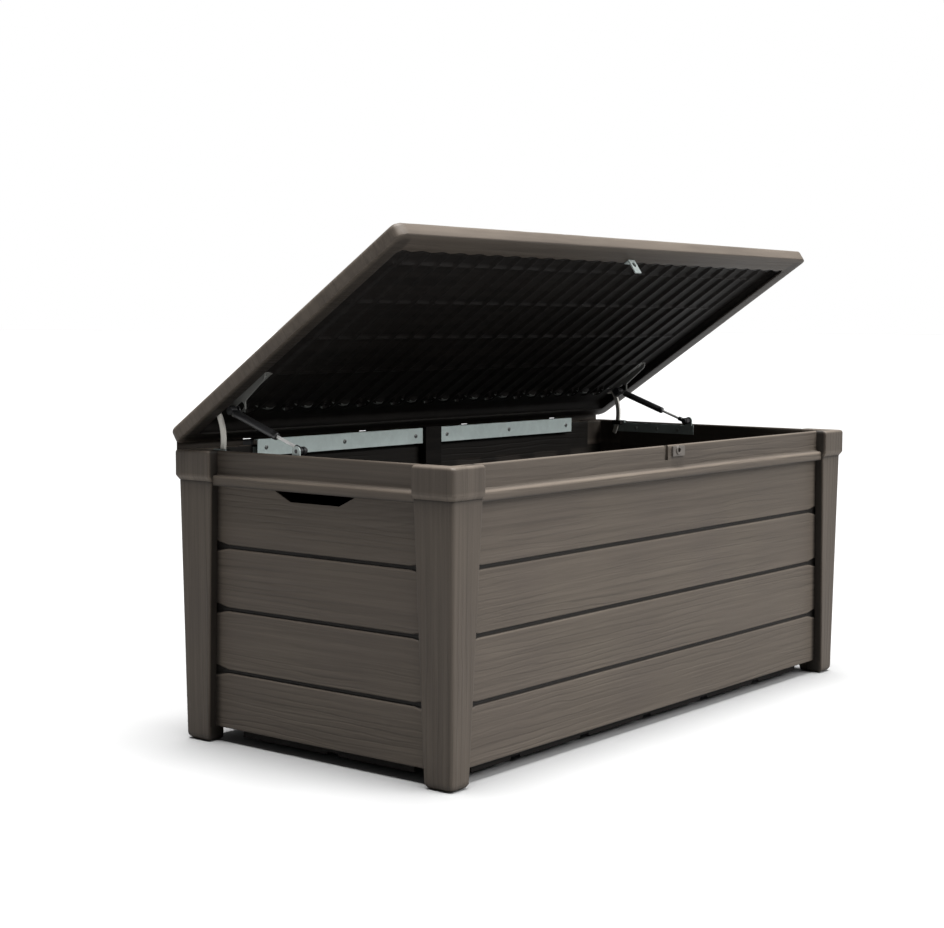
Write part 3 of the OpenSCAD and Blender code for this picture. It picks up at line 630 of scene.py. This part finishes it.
def rear_gutter():
    """A channel behind the rear rim, with an upstand that closes the gap behind the open lid."""
    y0, y1 = MID_Y + HALF_W - RIM_D - 0.001, MID_Y + HALF_W - 0.0002
    floor_z, lip_y, lip_z = RIM - 0.014, MID_Y + HALF_W - 0.0018, RIM + 0.0135
    corners = [(y0, floor_z - 0.004), (y1, floor_z - 0.004), (y1, lip_z), (lip_y, lip_z), (lip_y, floor_z),
               (y0, floor_z)]
    outline = fillet_loop(corners, [0, 0.004, LIP_R, LIP_R, 0.003, 0], [0, 5, 3, 3, 4, 0], [4, 6, 1, 6, 4, 0])
    stops = [-(HALF_L - POST_LONG_TOP)]
    for i in sorted(range(1, 5), key=lambda i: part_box(f"hinge_{i}_lid_leaf")[0].x):
        low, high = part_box(f"hinge_{i}_lid_leaf")
        stops += [low.x - 0.003, high.x + 0.003]
    stops.append(HALF_L - POST_LONG_TOP)
    parts = []

    def extrude(section, places):
        rings = [np.column_stack([np.full(len(section), x), section]) for x in places]
        parts.append((np.concatenate(rings).tolist(), loft_faces(len(places), len(section))))

    for start, end in zip(stops[::2], stops[1::2]):
        extrude(outline, np.linspace(start, end, max(3, int((end - start) / 0.02))))
    lip = fillet_loop([(lip_y, RIM - 0.009), (y1, RIM - 0.009), (y1, lip_z), (lip_y, lip_z)],
                      [0, 0, LIP_R, LIP_R], [0, 0, 3, 3], [0, 6, 1, 6])
    for sign in (-1, 1):
        extrude(lip, np.sort(np.linspace(sign * (HALF_L - POST_LONG_TOP), sign * (HALF_L - 0.007), 5)))
    points, faces = joined(parts)
    points = np.array(points)
    # Painted shade darkens the whole gutter.
    add_piece("rear_gutter", points, faces, "box", "resin", RESIN, grain=points[:, [0, 2, 1]],
              painted_shading=np.full(len(points), -0.45))


rear_gutter()


# ---- Corner posts and caps ----

def corner_ring(x, y, x_in, y_in, end_x, end_y, outer_r, end_r, cells):
    """An L round a corner: faces at x and y outside, x_in and y_in inside, and arms up to end_x and end_y."""
    corners = [(x, y), (end_x, y), (end_x, y_in), (x_in, y_in), (x_in, end_y), (x, end_y)]
    radii = [outer_r, end_r, 0.0012, 0.004, 0.0012, end_r]
    return fillet_loop(corners, radii, [7, 4, 2, 3, 2, 4], [cells, 5, 4, 4, 5, cells])


def corner_solid(name, corner, levels, node, seed):
    """Lofts L rings up a corner. levels holds (z, ring settings, relief share, painted shading)."""
    sx = -1 if "left" in corner else 1
    sy = -1 if "front" in corner else 1
    points, grain, painted_shading = [], [], []
    for z, setting, share, shading_level in levels:
        ring = corner_ring(**setting)
        tangent = np.roll(ring, -1, 0) - np.roll(ring, 1, 0)
        normal = np.stack([-tangent[:, 1], tangent[:, 0]], 1)
        normal /= np.maximum(np.linalg.norm(normal, axis=1), 1e-9)[:, None]
        outer = (ring[:, 0] > setting["x"] - 0.002) | (ring[:, 1] > setting["y"] - 0.002)
        across = np.where(ring[:, 1] > setting["y"] - 0.002, ring[:, 0], ring[:, 1] + 0.4)
        relief = grain_relief(np.full(len(ring), z), across, seed) * outer * share * 0.15
        # Painted shade at the arms' ends, where they meet the walls.
        ends = ((ring[:, 0] < setting["end_x"] + 0.0012) & (ring[:, 1] < setting["y"] - 0.003)
                | (ring[:, 1] < setting["end_y"] + 0.0012) & (ring[:, 0] < setting["x"] - 0.003))
        painted_shading.append(np.where(ends, -0.8, shading_level))
        centre = np.array([setting["x_in"], setting["y_in"]])
        outward = np.where(((ring - centre) * normal).sum(1)[:, None] > 0, normal, -normal)
        ring = ring + outward * np.minimum(relief, 0)[:, None]
        points.append(np.column_stack([sx * ring[:, 0], sy * ring[:, 1] + MID_Y, np.full(len(ring), z)]))
        grain.append(np.column_stack([np.full(len(ring), z + seed * 1.3), across, ring[:, 0]]))
    add_piece(name, np.concatenate(points), loft_faces(len(points), len(points[0])), "box", "resin", RESIN,
              (node,), np.concatenate(grain), np.concatenate(painted_shading), sharp=42, flip=sx * sy > 0)


def post_levels():
    """Rings of a post, from its rounded foot to the cap, widening as it rises."""
    foot_r, foot_in = 0.012, 0.045
    heights = [foot_r * (1 - math.cos(math.pi / 2 * k / 6)) for k in range(6)]
    heights += list(np.linspace(foot_r, PANEL_Z, 5)) + list(np.linspace(PANEL_Z + 1e-5, CAP_Z, 120))
    levels = []
    for z in heights:
        lift = max(0.0, foot_r - z)
        round_off = foot_r - math.sqrt(max(foot_r ** 2 - lift ** 2, 0)) if lift > 0 else 0
        share = z / CAP_Z
        x, y = HALF_L - POST_D - float(lean(z)), HALF_W - POST_D - float(lean(z))
        deep = PLANK_D + float(lean(z)) + 0.0002 if z > PANEL_Z else foot_in + TAPER
        # The last value is painted shading: a little darker overall, with painted shade just under the cap and at
        # the foot.
        levels.append((z, dict(
            x=x - round_off, y=y - round_off, x_in=HALF_L - deep, y_in=HALF_W - deep,
            end_x=HALF_L - POST_LONG_FOOT - (POST_LONG_TOP - POST_LONG_FOOT) * share + round_off * 0.6,
            end_y=HALF_W - POST_SHORT_FOOT - (POST_SHORT_TOP - POST_SHORT_FOOT) * share + round_off * 0.6,
            outer_r=0.0075, end_r=0.0026, cells=26), 1.0 if z > foot_r else 0.0,
            -0.12 - 0.6 * max(0.0, 1 - (CAP_Z - z) / 0.006) - 0.25 * max(0.0, 1 - z / 0.01)))
    return levels


def cap_levels():
    """Rings of a cap: a sloped lower edge, straight sides and a rounded top."""
    slope, top_r = 0.010, 0.006
    steps = [(CAP_Z + 0.0002, POST_D + 0.0006), (CAP_Z + 0.0012, POST_D - 0.0008)]
    steps += [(CAP_Z + slope * k, POST_D * (1 - k) ** 1.15) for k in (0.35, 0.55, 0.72, 0.86, 0.95, 1.0)]
    steps += [(z, 0) for z in np.linspace(CAP_Z + slope + 0.002, RIM - top_r, 15)]
    steps += [(RIM - top_r + top_r * math.sin(a), top_r * (1 - math.cos(a)))
              for a in [math.pi / 2 * k / 7 for k in range(1, 8)]]
    levels = []
    for z, inset in steps:
        inner = max(0.0, inset if z > RIM - top_r else 0.0) * 0.6
        # The last value is painted shading: painted highlights on the sloped lower edge and the rounded top, and
        # the rest a little darker.
        levels.append((z, dict(
            x=HALF_L - inset, y=HALF_W - inset, x_in=HALF_L - WALL_T + inner, y_in=HALF_W - WALL_T + inner,
            end_x=HALF_L - POST_LONG_TOP + inner, end_y=HALF_W - POST_SHORT_TOP + inner,
            outer_r=0.0075, end_r=0.0026, cells=22), 0.6 if inset == 0 else 0.0,
            max(-0.2, 0.9 - abs(z - CAP_Z - 0.007) / 0.006, 0.3 - (RIM - z) / 0.008)))
    return levels


for index, corner in enumerate(("front_left", "front_right", "rear_left", "rear_right")):
    corner_solid(f"{corner}_corner_post", corner, post_levels(), f"{corner}_post", 21 + index)
    corner_solid(f"{corner}_corner_cap", corner, cap_levels(), f"{corner}_cap", 41 + index)


# ---- Lid ----

LID_L = 1.451
LID_W = 0.6846
LID_Z = RIM + 0.0006
LID_EDGE = 0.0274
LID_CROWN = 0.015
LID_FRONT = MID_Y - HALF_W - 0.0007
LID_BACK = LID_FRONT + LID_W
LID_MID = (LID_FRONT + LID_BACK) / 2
LID_PLANK = LID_W / 4
LID_GROOVE = 0.0022
FLANGE_SIDE, FLANGE_FRONT, FLANGE_BACK = 0.041, 0.050, 0.0284
LINER_Z = RIM + 0.020
LINER_PITCH = 0.054


def crown(x, y):
    """Height of the lid's top over its edge."""
    across = 1 - ((y - LID_MID) / (LID_W / 2)) ** 2
    along = 1 - (x / (LID_L / 2)) ** 2
    return LID_CROWN * np.maximum(across, 0) * np.maximum(along, 0)


def plan_grid(nx, ny, inset, corner_r):
    """A grid over the lid's plan, whose rows shorten where the corners are round."""
    half_x, half_y = LID_L / 2 - inset, LID_W / 2 - inset
    v = np.linspace(-1, 1, ny)
    u = np.linspace(-1, 1, nx)
    y = v * half_y
    over = np.clip(np.abs(y) - (half_y - corner_r), 0, corner_r)
    reach = half_x - corner_r + np.sqrt(np.maximum(corner_r ** 2 - over ** 2, 0))
    return reach[:, None] * u[None, :], np.repeat(y[:, None], nx, 1) + LID_MID


def border(nx, ny):
    """Indices round the edge of an ny by nx grid."""
    low = list(range(nx))
    right = [i * nx + nx - 1 for i in range(1, ny)]
    high = [(ny - 1) * nx + i for i in range(nx - 2, -1, -1)]
    left = [i * nx for i in range(ny - 2, 0, -1)]
    return low + right + high + left


def grid_faces(nx, ny, first, flip=False):
    faces = []
    for j in range(ny - 1):
        for i in range(nx - 1):
            a = first + j * nx + i
            face = (a, a + 1, a + 1 + nx, a + nx)
            faces.append(tuple(reversed(face)) if flip else face)
    return faces


def lid_shell():
    """The crowned plank top, its rounded edge, the flange underneath and the inner skin."""
    nx, ny = 181, 229
    edge_r, side_r = 0.0085, 0.0025
    corner_r = 0.014 - edge_r * 0.6
    x, y = plan_grid(nx, ny, edge_r, corner_r)
    top = LID_Z + LID_EDGE + crown(x, y)
    plank = np.floor((y - LID_FRONT) / LID_PLANK).clip(0, 3)
    line = np.abs(((y - LID_FRONT) / LID_PLANK + 0.5) % 1 - 0.5) * LID_PLANK
    inner = (y > LID_FRONT + 0.05) & (y < LID_BACK - 0.05) & (np.abs(x) < LID_L / 2 - 0.03)
    ends = smooth_step((LID_L / 2 - 0.022 - np.abs(x)) / 0.012)
    groove = LID_GROOVE * smooth_step(1 - line / 0.004) * inner * ends
    relief = grain_relief(x, y + plank * 0.31, 77)
    fade = smooth_step((LID_L / 2 - edge_r - np.abs(x)) / 0.02)
    z = top - groove + np.minimum(relief, 0) * fade - 0.0001
    points = [np.stack([x.ravel(), y.ravel(), z.ravel()], 1)]
    faces = grid_faces(nx, ny, 0)
    edge = border(nx, ny)
    rim_points = points[0][edge]
    count = len(edge)
    centre = np.array([0, LID_MID])
    offset = rim_points[:, :2] - centre
    half_x, half_y = LID_L / 2 - edge_r, LID_W / 2 - edge_r
    corner = np.stack([np.sign(offset[:, 0]) * np.maximum(np.abs(offset[:, 0]) - (half_x - corner_r), 0),
                       np.sign(offset[:, 1]) * np.maximum(np.abs(offset[:, 1]) - (half_y - corner_r), 0)], 1)
    normal = corner / np.maximum(np.linalg.norm(corner, axis=1), 1e-9)[:, None]
    rings = []
    edge_z = rim_points[:, 2]
    for k in range(1, 7):
        a = math.pi / 2 * k / 6
        rings.append((edge_r * math.sin(a), edge_z - edge_r * (1 - math.cos(a))))
    for share in (0.3, 0.6, 1.0):
        drop = edge_z - edge_r + (LID_Z + side_r - edge_z + edge_r) * share
        rings.append((edge_r, drop))
    for k in range(1, 5):
        a = math.pi / 2 * k / 4
        rings.append((edge_r - side_r * (1 - math.cos(a)),
                      np.full(count, LID_Z + side_r * (1 - math.sin(a)))))
    for out, z in rings:
        points.append(np.column_stack([rim_points[:, :2] + normal * out, z]))
    # The flange under the edge, out to its scalloped inner border
    inner_x, inner_low = LID_L / 2 - FLANGE_SIDE, LID_FRONT + FLANGE_FRONT
    inner_high = LID_BACK - FLANGE_BACK
    target = np.column_stack([rim_points[:, 0] / half_x * inner_x,
                              inner_low + (rim_points[:, 1] - LID_FRONT - edge_r)
                              / (LID_W - 2 * edge_r) * (inner_high - inner_low)])
    scallop = 0.0022 * (1 - np.cos(2 * np.pi * target[:, 0] / LINER_PITCH))
    front_side = offset[:, 1] < -half_y + 1e-6
    start = points[-1][:, :2]
    for share in (0.35, 0.7, 0.94, 1.0):
        ring = start + (target - start) * share
        ring[front_side, 1] -= scallop[front_side] * share ** 3
        lift = 0.0 if share < 1 else 0.0008
        points.append(np.column_stack([ring, np.full(count, LID_Z + lift)]))
    points.append(points[-1] + (0, 0, 0.0036))
    inside = rim_points[:, :2] + normal * (edge_r - 0.0035)
    points.append(np.column_stack([inside, np.full(count, LID_Z + 0.0044)]))
    points.append(np.column_stack([inside, edge_z - 0.009]))
    wall_rings = len(points) - 1
    base = nx * ny
    for k in range(count):
        a, b = edge[k], edge[(k + 1) % count]
        c, d = base + k, base + (k + 1) % count
        faces.append((b, a, c, d))
    faces += [tuple(reversed(f)) for f in ring_faces(wall_rings, count, first=base)]
    # The inner skin follows the crown, a wall's thickness below it
    inner_base = base + wall_rings * count
    points.append(np.stack([x.ravel(), y.ravel(), top.ravel() - 0.0034], 1))
    ring_start = inner_base - count
    for k in range(count):
        a, b = ring_start + k, ring_start + (k + 1) % count
        c, d = inner_base + edge[k], inner_base + edge[(k + 1) % count]
        faces.append((b, a, c, d))
    faces += grid_faces(nx, ny, inner_base, flip=True)
    every = np.concatenate(points)
    painted_shading = np.zeros(len(every))
    # Painted shade in the grooves of the top.
    painted_shading[:nx * ny] = -0.7 * (groove / LID_GROOVE).ravel()
    # Painted shade on the flange underneath, deeper towards the back and the sides, and on the inner skin.
    flange = base + len(rings) * count
    under = every[flange:]
    front = under[:, 1] < LID_FRONT + FLANGE_FRONT
    back = (under[:, 1] - LID_FRONT) / LID_W
    painted_shading[flange:] = np.where(front & (np.abs(under[:, 0]) < inner_x), -0.22, -0.6 - 0.35 * back)
    painted_shading[inner_base:] = -0.9
    plank = np.floor((every[:, 1] - LID_FRONT) / LID_PLANK)
    grain = np.column_stack([every[:, 0], every[:, 1] + plank * 0.13, every[:, 2]])
    add_piece("lid_cover", lid_open(every), faces, "lid", "resin", RESIN, ("lid_shell",), grain, painted_shading,
              sharp=SHARP)


lid_shell()


def liner():
    """The lid's inner panel: corrugated, with rounded pads near the hinges and a scalloped wall round it."""
    low_x, high_x = -(LID_L / 2 - FLANGE_SIDE + 0.004), LID_L / 2 - FLANGE_SIDE + 0.004
    low_y, high_y = LID_FRONT + FLANGE_FRONT - 0.004, LID_BACK - FLANGE_BACK + 0.004
    nx, ny = 460, 150
    x = np.linspace(low_x, high_x, nx)[None, :] + np.zeros((ny, 1))
    y = np.linspace(low_y, high_y, ny)[:, None] + np.zeros((1, nx))
    from_x = np.minimum(x - low_x, high_x - x)
    from_front, from_back = y - low_y, high_y - y
    scallop = 0.0045 * (1 - np.cos(2 * np.pi * x / LINER_PITCH))
    # The wall is steep at the short sides, where the strut pivots pass close to it
    border_in = np.minimum(3.6 * (from_x - 0.001), from_back - 0.004)
    border_in = np.minimum(border_in, from_front - 0.004 - scallop)
    wall_share = smooth_step(1 - border_in / 0.011)
    off = np.abs((x / LINER_PITCH) % 1 - 0.5) * LINER_PITCH
    rib = smooth_step(1 - off / 0.0085)
    rib_back = MID_Y + HALF_W - WALL_T - 0.034
    rib_ends = smooth_step((y - low_y - 0.012) / 0.02) * smooth_step((rib_back - y) / 0.02)
    rib_ends *= smooth_step((high_x - 0.040 - np.abs(x)) / 0.02)
    cross = np.zeros_like(x)
    for k in range(5):
        cross = np.maximum(cross, smooth_step(1 - np.abs(y - (low_y + 0.062 + 0.12 * k)) / 0.006))
    cell = np.round(x / LINER_PITCH)
    in_cell = x - cell * LINER_PITCH
    pad_y = MID_Y + 0.246
    # Even cells carry a low pad, odd cells an arch
    pad = smooth_step(1.35 - np.hypot(in_cell / 0.017, (y - pad_y) / 0.008))
    radius = np.hypot(in_cell, (y - pad_y + 0.006) / 1.15)
    arch = smooth_step(1 - np.abs(radius - 0.0135) / 0.005) * (y > pad_y - 0.012)
    pads = np.where(cell % 2 == 0, pad, arch) * (np.abs(x) < high_x - 0.06)
    height = 0.0065 * np.maximum(rib * rib_ends, 0.62 * cross * rib_ends)
    height = np.maximum(height, 0.0085 * pads)
    deepest = LINER_Z - LID_Z - 0.0046
    height = np.minimum(height + deepest * wall_share, deepest)
    z = LINER_Z - height
    lower = np.stack([x.ravel(), y.ravel(), z.ravel()], 1)
    upper = lower.copy()
    upper[:, 2] = LINER_Z + 0.0022
    faces = grid_faces(nx, ny, 0, flip=True) + grid_faces(nx, ny, nx * ny)
    edge = border(nx, ny)
    for k in range(len(edge)):
        a, b = edge[k], edge[(k + 1) % len(edge)]
        faces.append((a, b, b + nx * ny, a + nx * ny))
    points = np.concatenate([lower, upper])
    obj = add_piece("lid_inner_panel", lid_open(points), faces, "lid", "dark_resin", DARK, ("lid_liner",),
                    sharp=60)
    obj.data.materials.append(PAD)
    count = (nx - 1) * (ny - 1)
    on_pad = pads[:-1, :-1] > 0.45
    index = np.zeros(len(obj.data.polygons), np.int32)
    index[:count] = on_pad.ravel().astype(np.int32)
    obj.data.polygons.foreach_set("material_index", index)


liner()


# ---- Gas struts ----

def strut(side):
    """Rod, cylinder and their end fittings, turned about the strut's line."""
    pivot = Vector(joints[f"{side}_strut_swing"]["pos_m"])
    line = Vector(joints[f"{side}_strut_stroke"]["axis"]).normalized()
    pin_low, pin_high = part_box(f"{side}_clevis_pin")
    top = Vector((pivot.x, (pin_low.y + pin_high.y) / 2, (pin_low.z + pin_high.z) / 2))
    length = (top - pivot).length
    tube_end = length - 0.012
    tube_start = tube_end - 0.120
    rod = lathe([(0.009, 0.0), (0.009, 0.003), (0.128, 0.003), (0.1285, 0.0042), (0.131, 0.0042),
                 (0.131, 0.0)], pivot, line)
    add_piece(f"{side}_gas_strut_rod", *rod, f"{side}_rod", "rod_steel", ROD, (f"{side}_strut_rod",))
    r = 0.0075
    mouth = [(tube_start + 0.002, 0.0032), (tube_start, 0.0036), (tube_start + 0.0002, 0.0052),
             (tube_start + 0.0012, 0.0066), (tube_start + 0.003, 0.0073), (tube_start + 0.005, r),
             (tube_start + 0.0085, r), (tube_start + 0.0095, 0.0069), (tube_start + 0.0110, 0.0069),
             (tube_start + 0.0120, r), (tube_end - 0.006, r), (tube_end - 0.0035, 0.0073),
             (tube_end - 0.0015, 0.0066), (tube_end - 0.0004, 0.0052), (tube_end, 0.0035),
             (tube_end, 0.0)]
    tube = lathe([(tube_start + 0.002, 0.0)] + mouth, pivot, line)
    add_piece(f"{side}_gas_strut_tube", *tube, f"{side}_cylinder", "strut_paint", PAINT,
              (f"{side}_strut_cylinder",))


for side in ("left", "right"):
    strut(side)


# ---- Screws ----

def screw_head(centre, direction, radius, height):
    """A pan head with a cross recess."""
    direction = Vector(direction).normalized()
    across = direction.orthogonal().normalized()
    up = direction.cross(across)
    rings, count = 15, 48
    points = []

    def put(u, v, h):
        points.append(Vector(centre) + across * u + up * v + direction * h)

    for i in range(rings):
        share = 1 - i / rings
        for k in range(count):
            a = 2 * math.pi * k / count
            u, v = radius * share * math.cos(a), radius * share * math.sin(a)
            dome = height * (0.45 + 0.55 * math.sqrt(max(0, 1 - share ** 2.6)))
            near, far = sorted((abs(u), abs(v)))
            in_cross = near < radius * 0.14 and far < radius * 0.56
            put(u, v, dome - (height * 0.6 if in_cross else 0))
    put(0, 0, height * 0.4)
    faces = ring_faces(rings, count)
    last = (rings - 1) * count
    faces += [(last + k, last + (k + 1) % count, rings * count) for k in range(count)]
    base = len(points)
    for k in range(count):
        a = 2 * math.pi * k / count
        put(radius * math.cos(a), radius * math.sin(a), 0)
    faces += [(k, base + k, base + (k + 1) % count, (k + 1) % count) for k in range(count)]
    faces.append(tuple(reversed(range(base, base + count))))
    return points, faces


def components(node):
    """The centre and size of each separate solid in a CAD node."""
    mesh = frame["nodes"][node].data
    co = np.array([v.co for v in mesh.vertices])
    parent = list(range(len(co)))

    def find(i):
        while parent[i] != i:
            parent[i] = parent[parent[i]]
            i = parent[i]
        return i

    seen = {}
    for i, p in enumerate(np.round(co, 6).tolist()):
        j = seen.setdefault(tuple(p), i)
        parent[find(i)] = find(j)
    for e in mesh.edges:
        parent[find(e.vertices[0])] = find(e.vertices[1])
    groups = {}
    for i in range(len(co)):
        groups.setdefault(find(i), []).append(i)
    return [(co[g].min(0), co[g].max(0)) for g in groups.values()]


def screws(name, node, body, outward):
    """Detailed screws in the places of a CAD node's. outward gives the way that a screw's head faces."""
    radius, height, shank = 0.0045, 0.0022, 0.0021
    parts = []
    for low, high in components(node):
        middle = (low + high) / 2
        way = Vector(outward(middle))
        axis = int(np.argmax(np.abs(way)))
        head = middle.copy()
        head[axis] = high[axis] if way[axis] > 0 else low[axis]
        head = Vector(head) - way * height
        parts.append(screw_head(head, way, radius, height))
        length = high[axis] - low[axis] - height
        parts.append(lathe([(0, 0), (0, shank), (length, shank), (length, 0)], head, -way, 16))
    add_piece(name, *joined(parts), body, "screw_steel", SCREW, (node,), sharp=SHARP)


screws("rail_screw_heads", "rail_screws", "box", lambda p: (0, -1, 0))
screws("side_plate_screw_heads", "side_plate_screws", "box", lambda p: (-1 if p[0] > 0 else 1, 0, 0))
screws("hinge_screw_heads", "hinge_screws", "box", lambda p: (0, 1, 0))


# ---- CAD nodes that stay, with rounded edges ----

EDGE_WIDTH = {"galvanised_steel": 0.0006, "dark_resin": 0.0012, "lock_steel": 0.0008, "strut_paint": 0.0008,
              "rod_steel": 0.0004, "screw_steel": 0.0004, "resin": 0.002}
node_slots = {p["node"]: p["material_slot"] for p in frame["record"]["subparts"]}
for name, obj in frame["nodes"].items():
    if obj.hide_render:
        continue
    slot = node_slots[name]
    obj.data.materials.clear()
    obj.data.materials.append(NODE_MATERIALS.get(name.split("_", 1)[-1], SLOT_MATERIALS[slot]))
    obj.data.polygons.foreach_set("use_smooth", [True] * len(obj.data.polygons))
    weld = obj.modifiers.new("weld", "WELD")
    weld.merge_threshold = 1e-5
    flats = obj.modifiers.new("flats", "DECIMATE")
    flats.decimate_type = "DISSOLVE"
    flats.angle_limit = math.radians(0.5)
    bevel = obj.modifiers.new("bevel", "BEVEL")
    bevel.width = EDGE_WIDTH[slot]
    bevel.segments = 3
    bevel.limit_method = "ANGLE"
    bevel.angle_limit = math.radians(35)
    normals = obj.modifiers.new("normals", "WEIGHTED_NORMAL")
    normals.weight = 100
    normals.keep_sharp = True


# ---- Stage ----

def floor():
    """A pale paper sheet that the box stands on."""
    mesh = bpy.data.meshes.new("floor")
    size, z = 120, -0.0003
    mesh.from_pydata([(-size, -size, z), (size, -size, z), (size, size, z), (-size, size, z)], [],
                     [(0, 1, 2, 3)])
    obj = bpy.data.objects.new("floor", mesh)
    scene.collection.objects.link(obj)
    material, tree, shader = new_material("floor_paper")
    place = add_node(tree, "ShaderNodeTexCoord").outputs["Object"]
    paper = noise_node(tree, place, 3, 3, 0.5)
    colour = ramp(tree, paper, [(0.3, (0.205,) * 3), (0.7, (0.213,) * 3)])
    tree.links.new(colour, shader.inputs["Base Color"])
    shader.inputs["Roughness"].default_value = 0.8
    obj.data.materials.append(material)


floor()


def studio_light(name, toward, strength, softness):
    """An even light from one side, as from a large softbox far away."""
    light = bpy.data.lights.new(name, "SUN")
    light.energy = strength
    light.angle = math.radians(softness)
    obj = bpy.data.objects.new(name, light)
    scene.collection.objects.link(obj)
    obj.rotation_euler = Vector(toward).to_track_quat("Z", "Y").to_euler()


studio_light("key", (0.25, -0.72, 0.65), 4.3, 40)
studio_light("top", (0.0, 0.0, 1.0), 13.5, 36)

# The camera sees a white backdrop. The room's own light is dim, and dimmer on the left
world = bpy.data.worlds.new("studio")
scene.world = world
world.use_nodes = True
tree = world.node_tree
background = tree.nodes["Background"]
seen = tree.nodes.new("ShaderNodeLightPath")
direction = tree.nodes.new("ShaderNodeTexCoord")
split = tree.nodes.new("ShaderNodeSeparateXYZ")
tree.links.new(direction.outputs["Generated"], split.inputs["Vector"])
ambient = map_range(tree, split.outputs["X"], -1.0, 1.0, 0.16, 0.32)
level = tree.nodes.new("ShaderNodeMapRange")
tree.links.new(ambient, level.inputs["To Min"])
level.inputs["To Max"].default_value = 1.0
tree.links.new(seen.outputs["Is Camera Ray"], level.inputs["Value"])
tree.links.new(level.outputs["Result"], background.inputs["Strength"])
background.inputs["Color"].default_value = (1, 1, 1, 1)
scene.view_settings.view_transform = "Standard"

# ---- Camera ----

AZIMUTH, ELEVATION, ROLL = math.radians(-51.71), math.radians(4.55), math.radians(0.22)
CAMERA_PLACE = (-2.99725, MID_Y - 2.18357, 0.80006)
camera_data = bpy.data.cameras.new("camera")
camera_data.lens = 67.27
camera_data.sensor_width = 36
camera_data.clip_end = 200
camera = bpy.data.objects.new("camera", camera_data)
scene.collection.objects.link(camera)
back = Vector((math.sin(AZIMUTH) * math.cos(ELEVATION), -math.cos(AZIMUTH) * math.cos(ELEVATION),
               math.sin(ELEVATION)))
right = Vector((math.cos(AZIMUTH), math.sin(AZIMUTH), 0))
up = back.cross(right)
right, up = (right * math.cos(ROLL) + up * math.sin(ROLL), up * math.cos(ROLL) - right * math.sin(ROLL))
turn = Matrix((right, up, back)).transposed().to_4x4()
camera.matrix_world = Matrix.Translation(CAMERA_PLACE) @ turn
scene.camera = camera
